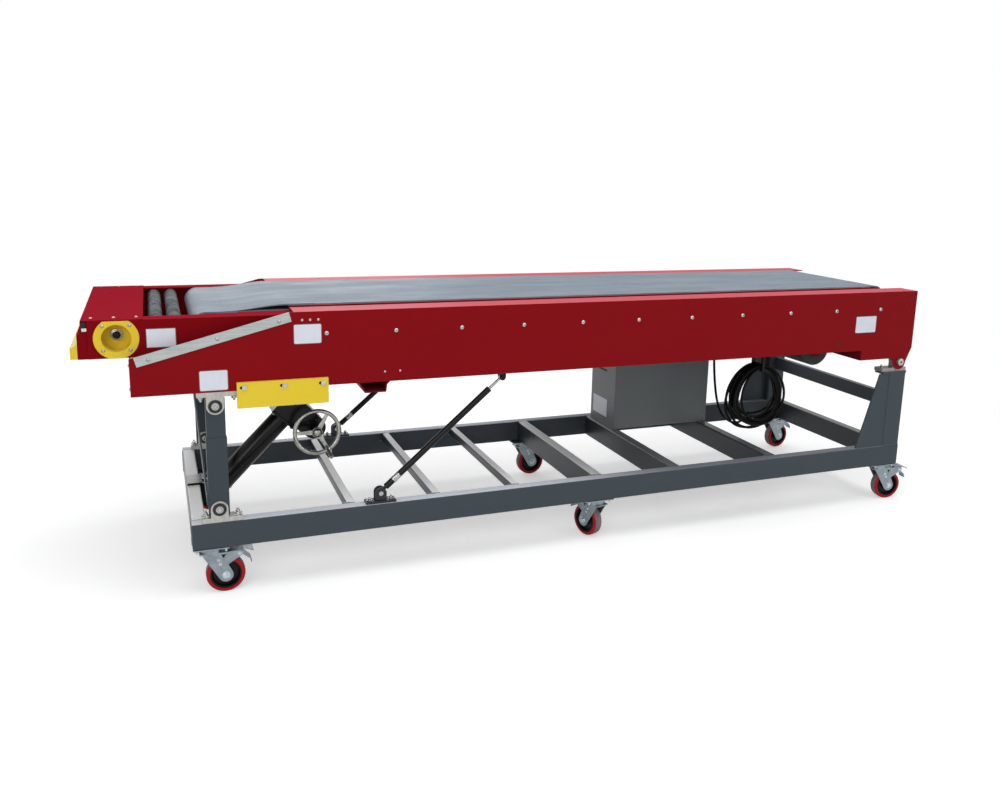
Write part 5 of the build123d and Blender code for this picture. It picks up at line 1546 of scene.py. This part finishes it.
# %% Cable
curve = bpy.data.curves.new("supply_cable", "CURVE")
curve.dimensions = "3D"
curve.bevel_depth = cable_diameter / 2
curve.bevel_resolution = 3
curve.resolution_u = 4
curve.use_fill_caps = True
spline = curve.splines.new("NURBS")
spline.points.add(len(cable_points) - 1)
for point, place in zip(spline.points, cable_points):
    point.co = (*place, 1.0)
spline.order_u = 3
spline.use_endpoint_u = True
curve.materials.append(cable_black)
cable = bpy.data.objects.new("supply_cable", curve)
bpy.context.scene.collection.objects.link(cable)
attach(cable, "belt_body")
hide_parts("cable_coil", "cable_lead")
print("cable", round(cable_diameter / mm), "mm thick")

# %% [markdown]
# ### Strain relief and plug
#
# Where the cable leaves the body a ribbed rubber sleeve keeps it from kinking, and each of its ribs is a
# little smaller than the one above. The cable ends in a moulded plug, which points along the cable's last
# stretch.

# %% Strain relief and plug
rib_count, rib_shrink, rib_pitch, relief_top_z = 6, 0.75, 4.4, 679
relief = bmesh.new()
relief_profile = [(5.4, 0.0), (12.0, 0.0), (12.4, 2.0), (12.0, 9.0)]
for index in range(rib_count):
    radius, along = 10.6 - index * rib_shrink, 10.0 + index * rib_pitch
    relief_profile += [(radius - 1.0, along), (radius, along + 1.0), (radius - 0.3, along + 3.2)]
relief_profile += [(6.1, 37.4), (5.4, 37.6)]
lathe(relief, relief_profile, at(*lead_points[0][:2], relief_top_z), (0, 0, -1), 28, closed=True)
relief_piece = piece("cable_relief", relief, black_rubber, "belt_body")

plug_profile = ((0, -6), (6.2, -6), (6.8, 0), (8.0, 14), (9.2, 18), (12.6, 24), (13.4, 27), (13.4, 46),
                (12.2, 48), (0, 48))
plug = bmesh.new()
lathe(plug, plug_profile, plug_point, plug_along, 32)
plug_piece = piece("cable_plug", plug, black_rubber, "belt_body")
print("relief with", rib_count, "ribs, plug at height", round(plug_point.z, 3))

# %% [markdown]
# The cable's length could be added up from its points, but the spline cuts inside them. So it is measured on
# a copy of the curve that has no thickness.

# %% Cable length
def spline_length(curve):
    """How long a curve's own line is, measured on a copy that has no thickness."""
    bare = curve.copy()
    bare.bevel_depth = 0.0
    probe = bpy.data.objects.new("cable_probe", bare)
    bpy.context.scene.collection.objects.link(probe)
    line = bpy.data.meshes.new_from_object(probe.evaluated_get(bpy.context.evaluated_depsgraph_get()))
    places = [vertex.co for vertex in line.vertices]
    bpy.data.objects.remove(probe)
    return sum((places[edge.vertices[0]] - places[edge.vertices[1]]).length for edge in line.edges)


cable_length = spline_length(curve)
print("cable", round(cable_length, 3), "m,", len(cable_points), "points")

# %% [markdown]
# ## The belt's skin
#
# The main belt runs down a short ramp and lies on the extension's own belt, so that the two look like one.
# The CAD belt has a blunt foot there. This skin stands for it: it follows the same run, thins to a feather
# at the foot, narrows to the extension's belt, and has the slight waves of a belt that is not under load.
# It is a grid of sections along the run, with a second grid below it for the thickness. First comes the
# run itself: the ramp, the long flat and the half turn round the tail pulley.

# %% Belt's run
belt_half, foot_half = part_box("main_belt")[1][1] / mm, 300.0
foot_x, ramp_end_x, foot_z, run_z = 137, 328, 921.6, 940.0
tail_x, tail_z, tail_outer = 2819.0, 895.0, 45.0
foot_thick, belt_thick, ramp_sag = 0.5, 5.0, 0.5
ramp_steps, run_steps, tail_steps = 18, 120, 24


def belt_line():
    """Places along the belt's top run, from the foot to round the tail pulley, and how thick it is there."""
    line = []
    for step in range(ramp_steps + 1):
        share = step / ramp_steps
        x = foot_x + (ramp_end_x - foot_x) * share
        z = foot_z + (run_z - foot_z) * eased(share) - ramp_sag * sin(pi * share)
        line.append((x, z, foot_thick + (belt_thick - foot_thick) * share))
    for step in range(1, run_steps + 1):
        line.append((ramp_end_x + (tail_x - ramp_end_x) * step / run_steps, run_z, belt_thick))
    for step in range(1, tail_steps + 1):
        angle = pi / 2 - pi * step / tail_steps
        line.append((tail_x + tail_outer * cos(angle), tail_z + tail_outer * sin(angle), belt_thick))
    return line


line = belt_line()
print(len(line), "sections from", round(line[0][0]), "to", round(line[-1][0]), "mm, half width", belt_half)

# %% [markdown]
# Behind the ramp the skin has two slight waves, each about a third of a millimetre high, 380 and 140 mm
# long, and its edges curl down a little. It settles by as much as the waves rise, so that it stays within
# the CAD belt's height. The waves stop before the tail pulley, where the belt is stretched flat.

# %% Belt skin
across_steps, widening_run = 28, 260
waves_from, waves_to = 420, tail_x - 60
long_wave, long_run, short_wave, short_run = 0.35, 61.0, 0.3, 23.0
edge_share, edge_curl = 0.94, 0.8
skin = bmesh.new()
top_rows, under_rows = [], []
for index, (x, z, thick) in enumerate(line):
    before, after = line[max(index - 1, 0)], line[min(index + 1, len(line) - 1)]
    run = Vector((after[0] - before[0], 0, after[1] - before[1])).normalized()
    inward = Vector((run.z, 0, -run.x))
    widened = min(max((x - foot_x) / widening_run, 0.0), 1.0) if x < tail_x else 1.0
    half = foot_half + (belt_half - foot_half) * eased(widened)
    flat = 1.0 if waves_from < x < waves_to else 0.0
    top_row, under_row = [], []
    for step in range(across_steps + 1):
        share = -1 + 2 * step / across_steps
        y = half * share
        wave = long_wave * sin(x / long_run + 2.2 * share) + short_wave * sin(x / short_run + y / 90.0)
        settled = flat * (wave - long_wave - short_wave)
        curl = flat * edge_curl * max(abs(share) - edge_share, 0.0) / (1 - edge_share)
        place = at(x, y, z + settled - curl)
        top_row.append(skin.verts.new(place))
        under_row.append(skin.verts.new(place + inward * thick * mm))
    top_rows.append(top_row)
    under_rows.append(under_row)


def strips(first_row, second_row):
    """Faces between two rows of points."""
    pairs = list(zip(first_row, second_row))
    for (a, b), (c, d) in zip(pairs, pairs[1:]):
        skin.faces.new((a, c, d, b))


for rows in (top_rows, under_rows):
    for first, second in zip(rows, rows[1:]):
        strips(first, second)
for row in (0, -1):
    strips(top_rows[row], under_rows[row])
for side in (0, -1):
    strips([row[side] for row in top_rows], [row[side] for row in under_rows])
print("belt skin has", len(skin.faces), "faces")
piece("belt_skin", skin, belt_grey, "belt_body", smooth=50, replaced=("main_belt",))

# %% [markdown]
# ## Put the loose heads away
#
# The five heads that the rows were copied from stand loose at the origin, so they are removed.

# %% Loose heads
for head in heads:
    bpy.data.objects.remove(head)

# %% [markdown]
# ## Close
#
# The picture is shown with the Standard view transform, so a colour renders as it is written.

# %% Close
view = bpy.context.scene.view_settings
view.view_transform = "Standard"
print("view transform", view.view_transform)
